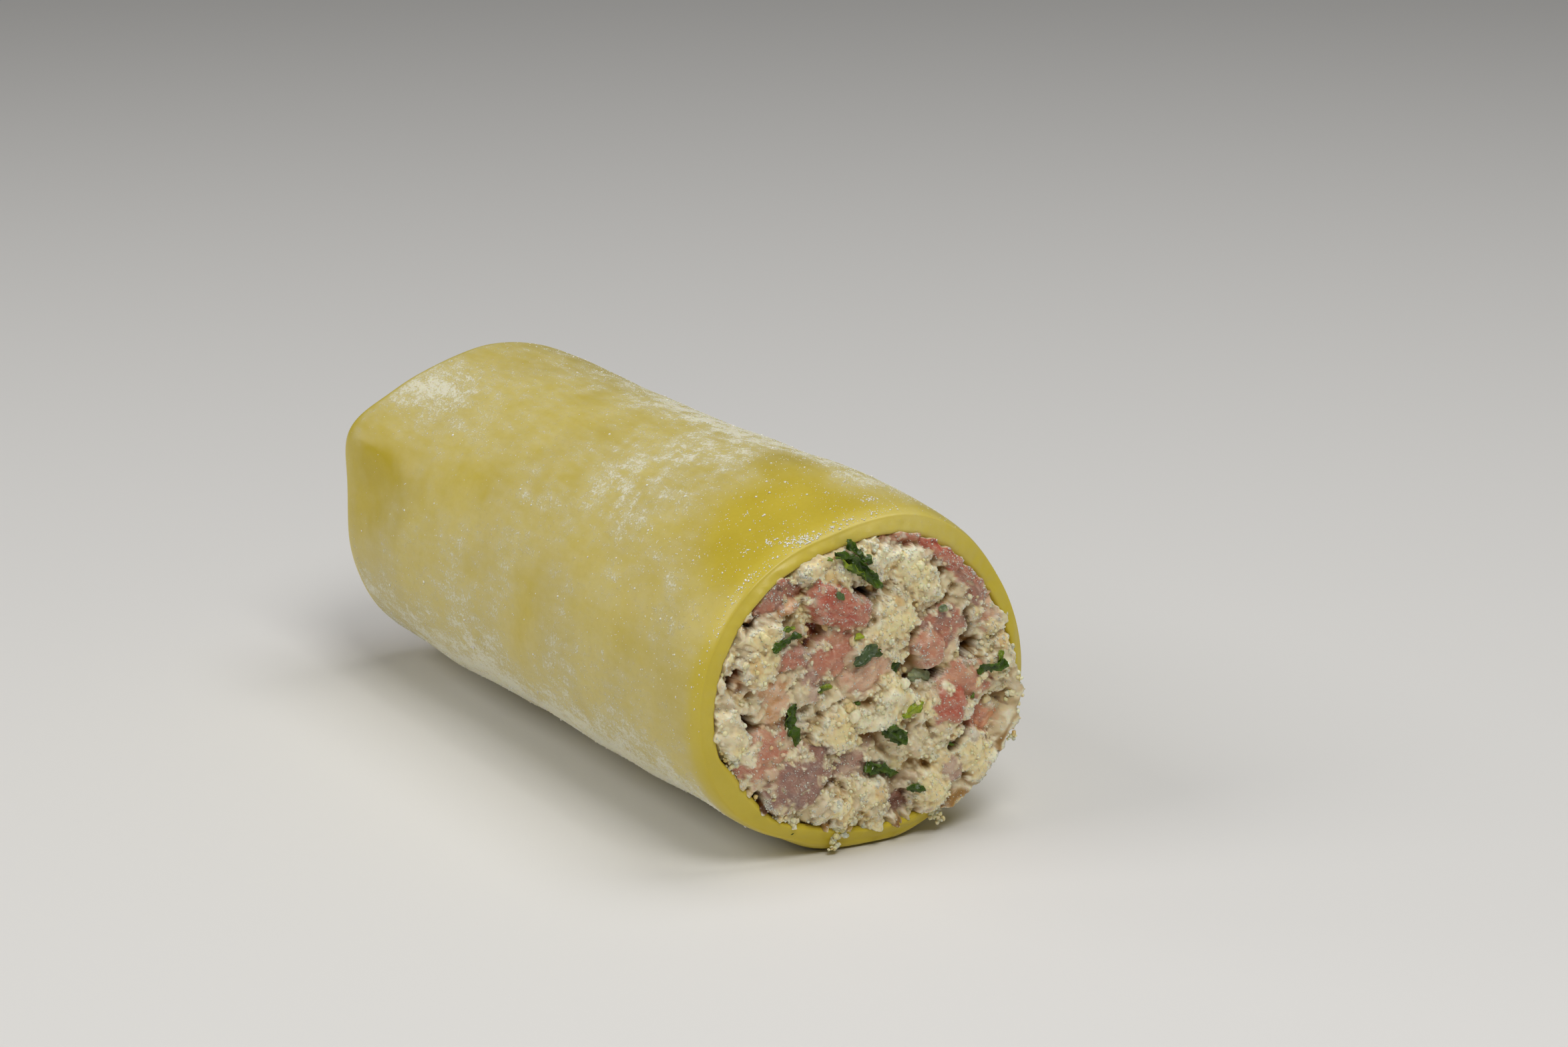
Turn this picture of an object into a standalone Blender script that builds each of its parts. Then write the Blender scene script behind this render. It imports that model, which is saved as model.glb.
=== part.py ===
"""A raw filled cannellone: a fresh egg pasta tube rolled round a ham, crumb and herb filling.

Part frame, in metres: +X runs along the roll to its front cut, +Z is up, and the origin is under the
middle of the roll, on the surface that it rests on.
Two solids: "pasta", the tube, and "filling", the core, whose uneven ends stand in the tube's mouths.
"""

import math

import bmesh
import bpy
from mathutils import Vector, noise

MM = 0.001

# ---- driving sizes, in millimetres ---------------------------------------------------------
LENGTH = 65.7          # pasta tube from cut to cut
CENTRE_Z = 14.42       # height of the roll's own axis above the table
MEAN_R = 14.919        # mean outside radius at a cut
WALL = 1.15            # thickness of the pasta sheet
LAP_WALL = 0.75        # what the sheet's pressed lap adds to the wall, high on the back
LAP_AT, LAP_SPREAD = math.radians(50), math.radians(34)
CURL = 3.2             # the last millimetres of the tube turn in towards the cut
EDGE_ROUND = 0.42      # soft edge of the cut sheet
BULGE, BULGE_AT, BULGE_RUN = 0.66, 12.0, 9.0   # the roll swells this far behind its front cut
GAP = 0.30             # between the filling and the tube
DOME = 1.15            # how far the filling bulges out of a cut, at the middle
LUMP = 1.05            # height of the filling's lumps

AROUND = 60
# distances from a cut at which the tube has a ring of points
OUTER_RINGS = (0.35, 0.9, 1.7, 2.7, 4.2, 6.5, 9.5, 13.0, 17.5, 23.0, 28.5)
INNER_RINGS = (1.2, 3.0, 7.0, 14.0, 24.0)

# The soft roll sags, so a cut's outline isn't a circle. Angles run from +Y, the back, towards +Z.
DROP = 0.20            # it hangs this far below its axis
OVAL, OVAL_AT = 0.70, math.radians(4)      # wider than high, and where it is widest
EGG, EGG_AT = 0.39, math.radians(-39)      # three soft corners, and where the first one is
DENTS, DENTS_AT = 0.08, math.radians(-5)   # five shallow ones
# What is particular to each cut's outline: where round it, how wide (both in degrees) and how high.
CUT_FORM = {
    1: ((100, 24, -0.80), (-28, 40, 0.27), (40, 20, 0.18)),
    -1: (
        (112, 24, -0.45), (150, 13, 1.35), (174, 14, -0.45), (30, 35, -0.35),
        (127, 28, 1.20), (168, 12, 0.40), (97, 15, 0.28), (-161, 19, -0.62),
    ),
}


def wrap(angle):
    """The angle between -pi and pi."""
    return math.atan2(math.sin(angle), math.cos(angle))


def hump(angle, at, spread):
    return math.exp(-((wrap(angle - at) / spread) ** 2))


def smooth(t):
    t = min(1.0, max(0.0, t))
    return t * t * (3 - 2 * t)


def section(angle):
    """Radius of the plain section, away from what is particular to each end."""
    return (
        MEAN_R
        - DROP * math.sin(angle)
        + OVAL * math.cos(2 * (angle - OVAL_AT))
        + EGG * math.cos(3 * (angle - EGG_AT))
        + DENTS * math.cos(5 * (angle - DENTS_AT))
    )


def cut_radius(angle, end):
    """Outside radius of the sheet at a cut. end is +1 for the front cut and -1 for the other."""
    radius = section(angle)
    for at, spread, height in CUT_FORM[end]:
        radius += height * hump(angle, math.radians(at), math.radians(spread))
    return radius


def bell(x, at, spread):
    return math.exp(-(((x - at) / spread) ** 2))


def swell(angle, end, depth):
    """How much the tube stands out past its cut's outline, depth millimetres behind that cut."""

    def around(at, spread):
        return hump(angle, math.radians(at), math.radians(spread))

    # the underside has settled into a broad flat
    base = -0.04 + 0.78 * math.exp(-((wrap(angle + math.pi / 2) / math.radians(25)) ** 4))
    if end > 0:
        height = 0.08 + BULGE * ((1 + math.cos(angle - math.radians(68))) / 2) ** 2
        out = height * bell(depth, BULGE_AT, BULGE_RUN) + 0.24 * around(60, 26) * bell(depth, 26.5, 7.0)
        return base + out + 0.42 * around(157, 26) * bell(depth, 4.5, 3.2) - 0.34 * around(-136, 15) * bell(depth, 7.5, 4.5)
    low = around(-134, 14)
    height = 0.06 + 0.24 * around(85, 50) + 0.22 * low * bell(depth, 15.0, 7.0)
    return base + height * max(bell(depth, 6.0, 7.0), 0.9 * bell(depth, 15.0, 7.0) * low)


def pinch(angle, depth):
    """A fold that runs in from the far end's corner, and the hollow under it."""
    fold = 0.55 * hump(angle, math.radians(150 - 0.6 * (depth - 6)), math.radians(9)) * bell(depth, 5.0, 6.0)
    return fold - 0.55 * hump(angle, math.radians(166), math.radians(11)) * bell(depth, 5.5, 4.5)


def tube_radius(angle, x):
    """Outside radius of the tube, unrested, at x millimetres from the middle of its length."""
    near, far = LENGTH / 2 - x, LENGTH / 2 + x
    share = smooth((x / LENGTH) + 0.5)
    radius = share * cut_radius(angle, 1) + (1 - share) * cut_radius(angle, -1)
    middle = smooth(min(near, far) / 12.0)
    # away from the cuts their dents fade into the plain section
    radius = radius * (1 - middle) + section(angle) * middle
    turned_in = (1 - max(0.0, 1 - near / CURL) ** 2) * (1 - max(0.0, 1 - far / CURL) ** 2)
    pinched = pinch(angle, far) * (1 - max(0.0, 1 - far / CURL) ** 4)
    out = swell(angle, 1, near) if x > 0 else swell(angle, -1, far)
    if abs(x) < 10:
        blend = smooth((x + 10) / 20)
        out = blend * swell(angle, 1, near) + (1 - blend) * swell(angle, -1, far)
    waves = 0.22 * noise.noise(Vector((x * 0.055 + 3.1, 1.7 * math.cos(angle), 1.7 * math.sin(angle))))
    waves += 0.10 * noise.noise(Vector((x * 0.16 - 5.0, 3.4 * math.cos(angle), 3.4 * math.sin(angle))))
    return radius + turned_in * (out + waves) + pinched


def wall(angle):
    return WALL + LAP_WALL * hump(angle, LAP_AT, LAP_SPREAD)


def cut_x(angle, end):
    """A cut isn't quite flat."""
    wave = 0.16 * math.sin(2 * angle + 0.7) + 0.09 * math.sin(5 * angle + (2.0 if end > 0 else 0.4))
    return end * (LENGTH / 2 - 0.25 + wave)


def place(x, angle, radius, floor):
    """A point of a ring, kept above the flat that the roll has settled on."""
    return Vector((x, radius * math.cos(angle), max(floor, CENTRE_Z + radius * math.sin(angle)))) * MM


def ring(x_of, radius_of, floor=0.0):
    angles = [2 * math.pi * i / AROUND - math.pi / 2 for i in range(AROUND)]
    return [place(x_of(a), a, radius_of(a), floor) for a in angles]


def loop_of(bm, points):
    """A closed chain of edges through the points."""
    verts = [bm.verts.new(p) for p in points]
    return verts, [bm.edges.new((verts[i], verts[(i + 1) % len(verts)])) for i in range(len(verts))]


def bridge(bm, rings, closed=False):
    """Skins the rings in order, and back to the first one if closed."""
    loops = [loop_of(bm, points) for points in rings]
    pairs = list(zip(loops, loops[1:])) + ([(loops[-1], loops[0])] if closed else [])
    for (a, _), (b, _) in pairs:
        for i in range(AROUND):
            j = (i + 1) % AROUND
            bm.faces.new((a[i], a[j], b[j], b[i]))
    return loops


def tube_rings():
    """Rings along the outside from the far cut to the front one, over its rim, and back inside."""
    half = LENGTH / 2
    outer = [-half + d for d in OUTER_RINGS] + [half - d for d in reversed(OUTER_RINGS)]
    rings = [ring(lambda a, x=x: x, lambda a, x=x: tube_radius(a, x)) for x in outer]

    def rim(end):
        steps = [
            (-0.12, 0.00),      # just behind the cut, full radius
            (0.10, EDGE_ROUND * 0.45),
            (0.22, EDGE_ROUND * 1.25),
        ]
        over = [
            ring(
                lambda a, k=k: cut_x(a, end) + end * k,
                lambda a, d=d: cut_radius(a, end) - d,
                floor=d * 0.6,
            )
            for k, d in steps
        ]
        inner = [
            ring(
                lambda a, k=k: cut_x(a, end) + end * k,
                lambda a, d=d: cut_radius(a, end) - wall(a) + d,
                floor=WALL - d * 0.6,
            )
            for k, d in ((0.16, 0.25), (-0.12, 0.0))
        ]
        return over + inner

    near = rim(1)
    far = rim(-1)
    inner = [half - d for d in INNER_RINGS] + [-half + d for d in reversed(INNER_RINGS)]
    inside = [
        ring(lambda a, x=x: x, lambda a, x=x: tube_radius(a, x) - wall(a), floor=WALL) for x in inner
    ]
    return rings + near + inside + list(reversed(far))


def relief(y, z, end):
    """How far the filling stands out of a cut at that place across it, in millimetres."""
    seed = 11.0 if end > 0 else 47.0
    r = math.hypot(y, z - CENTRE_Z) / 13.0
    lumps = noise.noise(Vector((y * 0.23, z * 0.23, seed))) + 0.55 * noise.noise(Vector((y * 0.52, z * 0.52, seed + 9)))
    fade = 1 - 0.45 * smooth((r - 0.7) / 0.3)
    return DOME * (1 - min(1.0, r) ** 2) + LUMP * lumps * fade


def filling_radius(angle, x):
    return tube_radius(angle, x) - wall(angle) - GAP


def filling_rings():
    """Rings from the middle of one end, out to its rim, along the tube, and in to the other middle."""
    half = LENGTH / 2

    def rim_radius(angle, end):
        return cut_radius(angle, end) - wall(angle) - GAP

    def end_ring(end, share):
        points = []
        for i in range(AROUND):
            a = 2 * math.pi * i / AROUND - math.pi / 2
            rr = rim_radius(a, end) * share
            y, z = rr * math.cos(a), CENTRE_Z + rr * math.sin(a)
            z = max(WALL + GAP, z) if share > 0.999 else max((WALL + GAP) * share + CENTRE_Z * (1 - share), z)
            out = relief(y, z, end) if share < 0.999 else relief(y, z, end) * 0.5 - 0.15
            points.append(Vector((cut_x(a, end) + end * out, y, z)) * MM)
        return points

    shares = (0.11, 0.24, 0.37, 0.50, 0.62, 0.73, 0.83, 0.92, 1.0)
    far = [end_ring(-1, s) for s in shares]
    near = [end_ring(1, s) for s in reversed(shares)]
    inner = [-half + d for d in INNER_RINGS] + [half - d for d in reversed(INNER_RINGS)]
    side = [
        ring(lambda a, x=x: x, lambda a, x=x: filling_radius(a, x), floor=WALL + GAP) for x in inner
    ]
    return far + side + near


def make(name, build, colour, roughness, sheen=0.0):
    bm = bmesh.new()
    build(bm)
    bmesh.ops.triangulate(bm, faces=bm.faces)
    bmesh.ops.recalc_face_normals(bm, faces=bm.faces)
    mesh = bpy.data.meshes.new(name)
    bm.to_mesh(mesh)
    bm.free()
    mesh.shade_smooth()
    mesh.set_sharp_from_angle(angle=math.radians(50))
    material = bpy.data.materials.new(name)
    material.use_nodes = True
    shader = material.node_tree.nodes["Principled BSDF"]
    shader.inputs["Base Color"].default_value = (*colour, 1)
    shader.inputs["Roughness"].default_value = roughness
    shader.inputs["Metallic"].default_value = 0.0
    mesh.materials.append(material)
    made = bpy.data.objects.new(name, mesh)
    bpy.context.scene.collection.objects.link(made)
    return made


def build_tube(bm):
    bridge(bm, tube_rings(), closed=True)


def build_filling(bm):
    loops = bridge(bm, filling_rings())
    for verts, _ in (loops[0], loops[-1]):
        end = 1 if verts[0].co.x > 0 else -1
        middle = Vector((cut_x(0.0, end) + end * relief(0.0, CENTRE_Z, end), 0.0, CENTRE_Z)) * MM
        centre = bm.verts.new(middle)
        for i in range(AROUND):
            bm.faces.new((verts[i], verts[(i + 1) % AROUND], centre))


def centre_on_origin(objects):
    """Moves all points so that the whole's box stands centred on the origin."""
    points = [v.co for o in objects for v in o.data.vertices]
    low = Vector([min(p[i] for p in points) for i in range(3)])
    high = Vector([max(p[i] for p in points) for i in range(3)])
    shift = Vector((-(low.x + high.x) / 2, -(low.y + high.y) / 2, -low.z))
    for o in objects:
        for v in o.data.vertices:
            v.co += shift


def main():
    for old in list(bpy.data.objects):
        bpy.data.objects.remove(old, do_unlink=True)
    pasta = make("pasta", build_tube, (0.72, 0.52, 0.09), 0.55)
    filling = make("filling", build_filling, (0.68, 0.55, 0.36), 0.7)
    centre_on_origin([pasta, filling])
    root = bpy.data.objects.new("cannellone", None)
    bpy.context.scene.collection.objects.link(root)
    for o in (pasta, filling):
        o.parent = root


main()
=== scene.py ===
"""Looks of a raw filled cannellone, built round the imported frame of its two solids.

Lengths are in millimetres until a mesh is made. Angles round the roll run from +Y, the back, towards
+Z; "depth" is the distance behind the front cut.
"""

import math

import bpy
import numpy as np
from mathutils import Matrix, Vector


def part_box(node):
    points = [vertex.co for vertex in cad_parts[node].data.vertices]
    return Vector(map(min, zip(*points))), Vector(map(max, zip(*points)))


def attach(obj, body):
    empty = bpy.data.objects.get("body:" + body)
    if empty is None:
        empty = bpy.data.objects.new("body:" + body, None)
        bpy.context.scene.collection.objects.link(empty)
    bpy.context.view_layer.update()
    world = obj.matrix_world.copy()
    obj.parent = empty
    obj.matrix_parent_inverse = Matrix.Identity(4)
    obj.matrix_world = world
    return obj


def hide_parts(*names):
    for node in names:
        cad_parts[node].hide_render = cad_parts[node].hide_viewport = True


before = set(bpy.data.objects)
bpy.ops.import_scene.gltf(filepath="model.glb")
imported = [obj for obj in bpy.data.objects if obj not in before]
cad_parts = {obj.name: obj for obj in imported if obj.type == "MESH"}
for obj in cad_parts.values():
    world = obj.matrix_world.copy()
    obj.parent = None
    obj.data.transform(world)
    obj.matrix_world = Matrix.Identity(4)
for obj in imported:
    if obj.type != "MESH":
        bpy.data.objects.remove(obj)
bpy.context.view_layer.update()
MM = 0.001
TAU = 2 * math.pi


# ---------------------------------------------------------------------------------- noise
def lattice(ix, iy, iz, seed):
    """A number from 0 to 1 for each whole-numbered point of space."""
    h = (ix * 73856093) ^ (iy * 19349663) ^ (iz * 83492791) ^ (seed * 265443576)
    h = (h ^ (h >> 13)) & 0xFFFFFFFF
    h = (h * 1274126177) & 0xFFFFFFFF
    h = (h ^ (h >> 16)) & 0xFFFFFFFF
    h = (h * 668265263) & 0xFFFFFFFF
    h = (h ^ (h >> 15)) & 0xFFFFFFFF
    return h / 4294967295.0


def noise1(x, y, z, seed=0):
    """Smooth noise from -1 to 1 whose features are one unit across."""
    x, y, z = np.broadcast_arrays(np.asarray(x, float), np.asarray(y, float), np.asarray(z, float))
    fx, fy, fz = np.floor(x), np.floor(y), np.floor(z)
    ix, iy, iz = fx.astype(np.int64), fy.astype(np.int64), fz.astype(np.int64)
    tx, ty, tz = x - fx, y - fy, z - fz
    sx, sy, sz = (t * t * t * (t * (t * 6 - 15) + 10) for t in (tx, ty, tz))
    total = 0.0
    for dx in (0, 1):
        wx = sx if dx else 1 - sx
        for dy in (0, 1):
            wy = sy if dy else 1 - sy
            for dz in (0, 1):
                wz = sz if dz else 1 - sz
                u = lattice(ix + dx, iy + dy, iz + dz, seed) * TAU
                v = lattice(ix + dx, iy + dy, iz + dz, seed + 101) * 2 - 1
                w = np.sqrt(np.maximum(0.0, 1 - v * v))
                dot = (tx - dx) * w * np.cos(u) + (ty - dy) * w * np.sin(u) + (tz - dz) * v
                total = total + wx * wy * wz * dot
    return total * 1.6


def fbm(x, y, z, seed=0, octaves=4, gain=0.5, lacunarity=2.07):
    total, amplitude, norm = 0.0, 1.0, 0.0
    for k in range(octaves):
        total = total + amplitude * noise1(x, y, z, seed + 17 * k)
        norm += amplitude
        amplitude *= gain
        x, y, z = x * lacunarity + 3.7, y * lacunarity - 1.9, z * lacunarity + 7.3
    return total / norm


def smooth(t, low=0.0, high=1.0):
    t = np.clip((t - low) / (high - low), 0.0, 1.0)
    return t * t * (3 - 2 * t)


def wrap(a):
    return np.arctan2(np.sin(a), np.cos(a))


def hump(a, at, spread):
    """A bell round the roll; at and spread in degrees."""
    return np.exp(-((wrap(a - np.radians(at)) / math.radians(spread)) ** 2))


def bell(x, at, spread):
    return np.exp(-(((x - at) / spread) ** 2))


def blur(field, radius):
    """Three box blurs, close to a Gaussian of that radius in cells."""
    for _ in range(3):
        for axis in (0, 1):
            k = max(1, int(round(radius)))
            pad = [(0, 0), (0, 0)]
            pad[axis] = (k + 1, k)
            total = np.cumsum(np.pad(field, pad, mode="edge"), axis=axis)
            n = field.shape[axis]
            upper = np.take(total, np.arange(2 * k + 1, 2 * k + 1 + n), axis=axis)
            lower = np.take(total, np.arange(0, n), axis=axis)
            field = (upper - lower) / (2 * k + 1)
    return field


# ---------------------------------------------------------------------------- mesh helpers
def make_mesh(name, verts_mm, faces, material, colour=None, values=None, flat=False):
    """An object from points in roll millimetres and a list of index arrays (quads or triangles)."""
    verts = (np.asarray(verts_mm, float) + SHIFT) * MM
    me = bpy.data.meshes.new(name)
    loops = np.concatenate([np.asarray(f).reshape(-1) for f in faces]).astype(np.int32)
    sizes = np.concatenate([np.full(len(f), np.asarray(f).shape[1]) for f in faces])
    starts = np.concatenate([[0], np.cumsum(sizes)[:-1]]).astype(np.int32)
    me.vertices.add(len(verts))
    me.vertices.foreach_set("co", verts.astype(np.float32).ravel())
    me.loops.add(len(loops))
    me.loops.foreach_set("vertex_index", loops)
    me.polygons.add(len(sizes))
    me.polygons.foreach_set("loop_start", starts)
    me.update(calc_edges=True)
    me.validate()
    if colour is not None:
        layer = me.color_attributes.new("tint", "FLOAT_COLOR", "POINT")
        layer.data.foreach_set("color", np.c_[colour, np.ones(len(verts))].astype(np.float32).ravel())
    for key, value in (values or {}).items():
        me.attributes.new(key, "FLOAT", "POINT").data.foreach_set("value", np.asarray(value, np.float32).ravel())
    if flat:
        me.shade_flat()
    else:
        me.shade_smooth()
    me.materials.append(material)
    made = bpy.data.objects.new(name, me)
    bpy.context.scene.collection.objects.link(made)
    return made


def grid_faces(rows, columns, wrap_columns=False):
    r = np.arange(rows - 1)[:, None]
    c = np.arange(columns if wrap_columns else columns - 1)[None, :]
    n = (c + 1) % columns
    a, b = r * columns + c, r * columns + n
    return np.stack([a, b, b + columns, a + columns], -1).reshape(-1, 4)


# ---------------------------------------------------------------------------- materials kit
class Kit:
    """Short names for building one material's nodes."""

    def __init__(self, name):
        self.material = bpy.data.materials.new(name)
        self.material.use_nodes = True
        self.tree = self.material.node_tree
        self.shader = self.tree.nodes["Principled BSDF"]

    def put(self, socket, value):
        if isinstance(value, bpy.types.NodeSocket):
            self.tree.links.new(value, socket)
        elif isinstance(value, (tuple, list)) and len(value) == 3 and socket.type == "RGBA":
            socket.default_value = (*value, 1)
        else:
            socket.default_value = value

    def attribute(self, name, socket="Fac"):
        node = self.tree.nodes.new("ShaderNodeAttribute")
        node.attribute_name = name
        return node.outputs[socket]

    def place(self):
        return self.tree.nodes.new("ShaderNodeTexCoord").outputs["Object"]

    def stretched(self, scale=(1, 1, 1), turn=(0, 0, 0)):
        node = self.tree.nodes.new("ShaderNodeMapping")
        node.inputs["Scale"].default_value = scale
        node.inputs["Rotation"].default_value = turn
        self.put(node.inputs["Vector"], self.place())
        return node.outputs["Vector"]

    def noise(self, size_mm, detail=2.0, rough=0.5, vector=None, distortion=0.0):
        """Noise whose features are about size_mm across."""
        node = self.tree.nodes.new("ShaderNodeTexNoise")
        node.inputs["Scale"].default_value = 1000.0 / size_mm
        node.inputs["Detail"].default_value = detail
        node.inputs["Roughness"].default_value = rough
        node.inputs["Distortion"].default_value = distortion
        self.put(node.inputs["Vector"], vector if vector is not None else self.place())
        return node.outputs["Fac"]

    def math(self, operation, a, b=0.0, c=0.0, clamp=False):
        node = self.tree.nodes.new("ShaderNodeMath")
        node.operation = operation
        node.use_clamp = clamp
        for socket, value in zip(node.inputs, (a, b, c)):
            self.put(socket, value)
        return node.outputs[0]

    def ramp(self, value, low, high, to_low=0.0, to_high=1.0):
        node = self.tree.nodes.new("ShaderNodeMapRange")
        node.interpolation_type = "SMOOTHSTEP"
        for key, v in (("Value", value), ("From Min", low), ("From Max", high), ("To Min", to_low), ("To Max", to_high)):
            self.put(node.inputs[key], v)
        return node.outputs["Result"]

    def mix(self, share, a, b, blend="MIX"):
        node = self.tree.nodes.new("ShaderNodeMix")
        node.data_type = "RGBA"
        node.blend_type = blend
        self.put(node.inputs[0], share)
        self.put(node.inputs[6], a)
        self.put(node.inputs[7], b)
        return node.outputs[2]

    def bump(self, height, distance_mm, strength=1.0, normal=None):
        node = self.tree.nodes.new("ShaderNodeBump")
        node.inputs["Strength"].default_value = strength
        node.inputs["Distance"].default_value = distance_mm * MM
        self.put(node.inputs["Height"], height)
        if normal is not None:
            self.put(node.inputs["Normal"], normal)
        return node.outputs["Normal"]

    def set(self, **values):
        for key, value in values.items():
            self.put(self.shader.inputs[key.replace("_", " ")], value)
        return self.material


# ---------------------------------------------------------------------------- the roll's form
LENGTH = 65.7
CENTRE_Z = 14.42
MEAN_R = 14.919
WALL = 1.15
CURL = 3.2
HALF = LENGTH / 2


def section(a):
    return (
        MEAN_R
        - 0.20 * np.sin(a)
        + 0.70 * np.cos(2 * (a - math.radians(4)))
        + 0.39 * np.cos(3 * (a - math.radians(-39)))
        + 0.08 * np.cos(5 * (a - math.radians(-5)))
    )


def cut_radius(a, end):
    r = section(a)
    if end > 0:
        return r - 0.80 * hump(a, 100, 24) + 0.27 * hump(a, -28, 40) + 0.18 * hump(a, 40, 20)
    r = r - 0.45 * hump(a, 112, 24) + 1.35 * hump(a, 150, 13) - 0.45 * hump(a, 174, 14) - 0.35 * hump(a, 30, 35)
    return r + 1.20 * hump(a, 127, 28) + 0.40 * hump(a, 168, 12) + 0.28 * hump(a, 97, 15) - 0.62 * hump(a, -161, 19)


def wall(a, end):
    thick = WALL + 0.75 * hump(a, 50, 34)
    if end > 0:
        # the inner lip of the sheet steps in, low on the front side
        thick = thick + 0.70 * smooth(wrap(a - math.radians(-164)), 0.0, 0.16) * (1 - smooth(wrap(a - math.radians(-161)), 0.25, 0.62))
        thick = thick + 0.25 * hump(a, -110, 20)
    return thick


def swell(a, end, depth):
    base = -0.04 + 0.78 * np.exp(-((wrap(a + math.pi / 2) / math.radians(25)) ** 4))
    if end > 0:
        height = 0.08 + 0.66 * ((1 + np.cos(a - math.radians(68))) / 2) ** 2
        out = height * bell(depth, 12.0, 9.0) + 0.24 * hump(a, 60, 26) * bell(depth, 26.5, 7.0)
        return base + out + 0.42 * hump(a, 157, 26) * bell(depth, 4.5, 3.2) - 0.34 * hump(a, -136, 15) * bell(depth, 7.5, 4.5)
    height = 0.06 + 0.24 * hump(a, 85, 50) + 0.22 * hump(a, -134, 14) * bell(depth, 15.0, 7.0)
    return base + height * np.maximum(bell(depth, 6.0, 7.0), 0.9 * bell(depth, 15.0, 7.0) * hump(a, -134, 14))


def TURN_IN(a, end):
    """How far the lip rounds in past the cut's outline."""
    if end > 0:
        return 0.42 + 0.10 * hump(a, 100, 40) + 0.22 * hump(a, -160, 34)
    return 0.45


def tube_radius(a, x):
    """Outside radius at angle a, x millimetres from the middle of the length."""
    near, far = np.maximum(0.0, HALF - x), np.maximum(0.0, HALF + x)
    share = smooth(x / LENGTH + 0.5)
    middle = smooth(np.minimum(near, far) / 12.0)
    outline = share * cut_radius(a, 1) + (1 - share) * cut_radius(a, -1)
    radius = outline * (1 - middle) + section(a) * middle
    blend = smooth((x + 10) / 20)
    out = blend * swell(a, 1, near) + (1 - blend) * swell(a, -1, far)
    c, s = np.cos(a), np.sin(a)
    waves = 0.16 * noise1(x * 0.06 + 3.1, 1.7 * c, 1.7 * s, 5) + 0.10 * noise1(x * 0.16, 3.4 * c, 3.4 * s, 9)
    # the far end is pinched: a fold runs in from its corner, with a hollow under it
    fold = 0.55 * hump(a, 150 - 0.6 * (far - 6), 9) * bell(far, 5.0, 6.0) - 0.55 * hump(a, 166, 11) * bell(far, 5.5, 4.5)
    # a slack crease hangs down the flank, and fine ones run slantwise over the front shoulder
    crease = -0.16 * bell(x + 4.0 + 0.045 * np.degrees(wrap(a - math.radians(175))), 0.0, 1.1) * hump(a, -172, 24)
    crease = crease - 0.10 * bell(x - 13.0 + 0.10 * np.degrees(wrap(a - math.radians(120))), 0.0, 1.6) * hump(a, 116, 22)
    fine = 0.030 * noise1(x * 0.8 + np.degrees(a) * 0.035, x * 0.10 - np.degrees(a) * 0.02, 0.0, 31) * hump(a, 130, 24) * bell(near, 6.0, 5.0)
    body = radius + out + waves + fold + crease + fine
    # over the last millimetres it rounds in, to face forward at the cut
    turned = radius
    for end, depth in ((1, near), (-1, far)):
        run = CURL if end > 0 else 2.6
        drop = (out + 0.6 * waves) + TURN_IN(a, end)
        arc = 1 - np.sqrt(np.maximum(0.0, 1 - np.maximum(0.0, 1 - depth / run) ** 2.2))
        body = body - drop * arc
    return body


def cut_wave(a, end):
    """A cut isn't quite flat."""
    wave = 0.16 * np.sin(2 * a + 0.7) + 0.09 * np.sin(5 * a + (2.0 if end > 0 else 0.4))
    return -0.25 + wave + 0.05 * noise1(4 * np.cos(a), 4 * np.sin(a), 3.0 * end, 77)


def around(x, a, r, floor=0.0):
    """Points from their place along the roll, angle and radius, kept above the flat underneath."""
    z = CENTRE_Z + r * np.sin(a)
    return np.stack([np.broadcast_to(x, z.shape), r * np.cos(a), np.maximum(z, floor)], -1)


AROUND = 400
ANGLES = np.arange(AROUND) * TAU / AROUND - math.pi / 2


def lengthwise_stations():
    near = [0.0, 0.015, 0.05, 0.11, 0.2, 0.32, 0.48, 0.68, 0.92, 1.2, 1.5]
    while near[-1] < HALF + 6:
        near.append(near[-1] + min(0.52, 0.30 + 0.012 * near[-1]))
    front = [HALF - d for d in near]
    far = [-HALF + d for d in near if -HALF + d < front[-1] - 0.3]
    return np.array(sorted(far + front))


def lip_floor(a, depth, end):
    """The flat underneath rounds up towards the cut, as the rest of the lip rounds in."""
    arc = 1 - math.sqrt(max(0.0, 1 - max(0.0, 1 - depth / CURL) ** 2.2))
    return arc * TURN_IN(a, end) * 0.9


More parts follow.
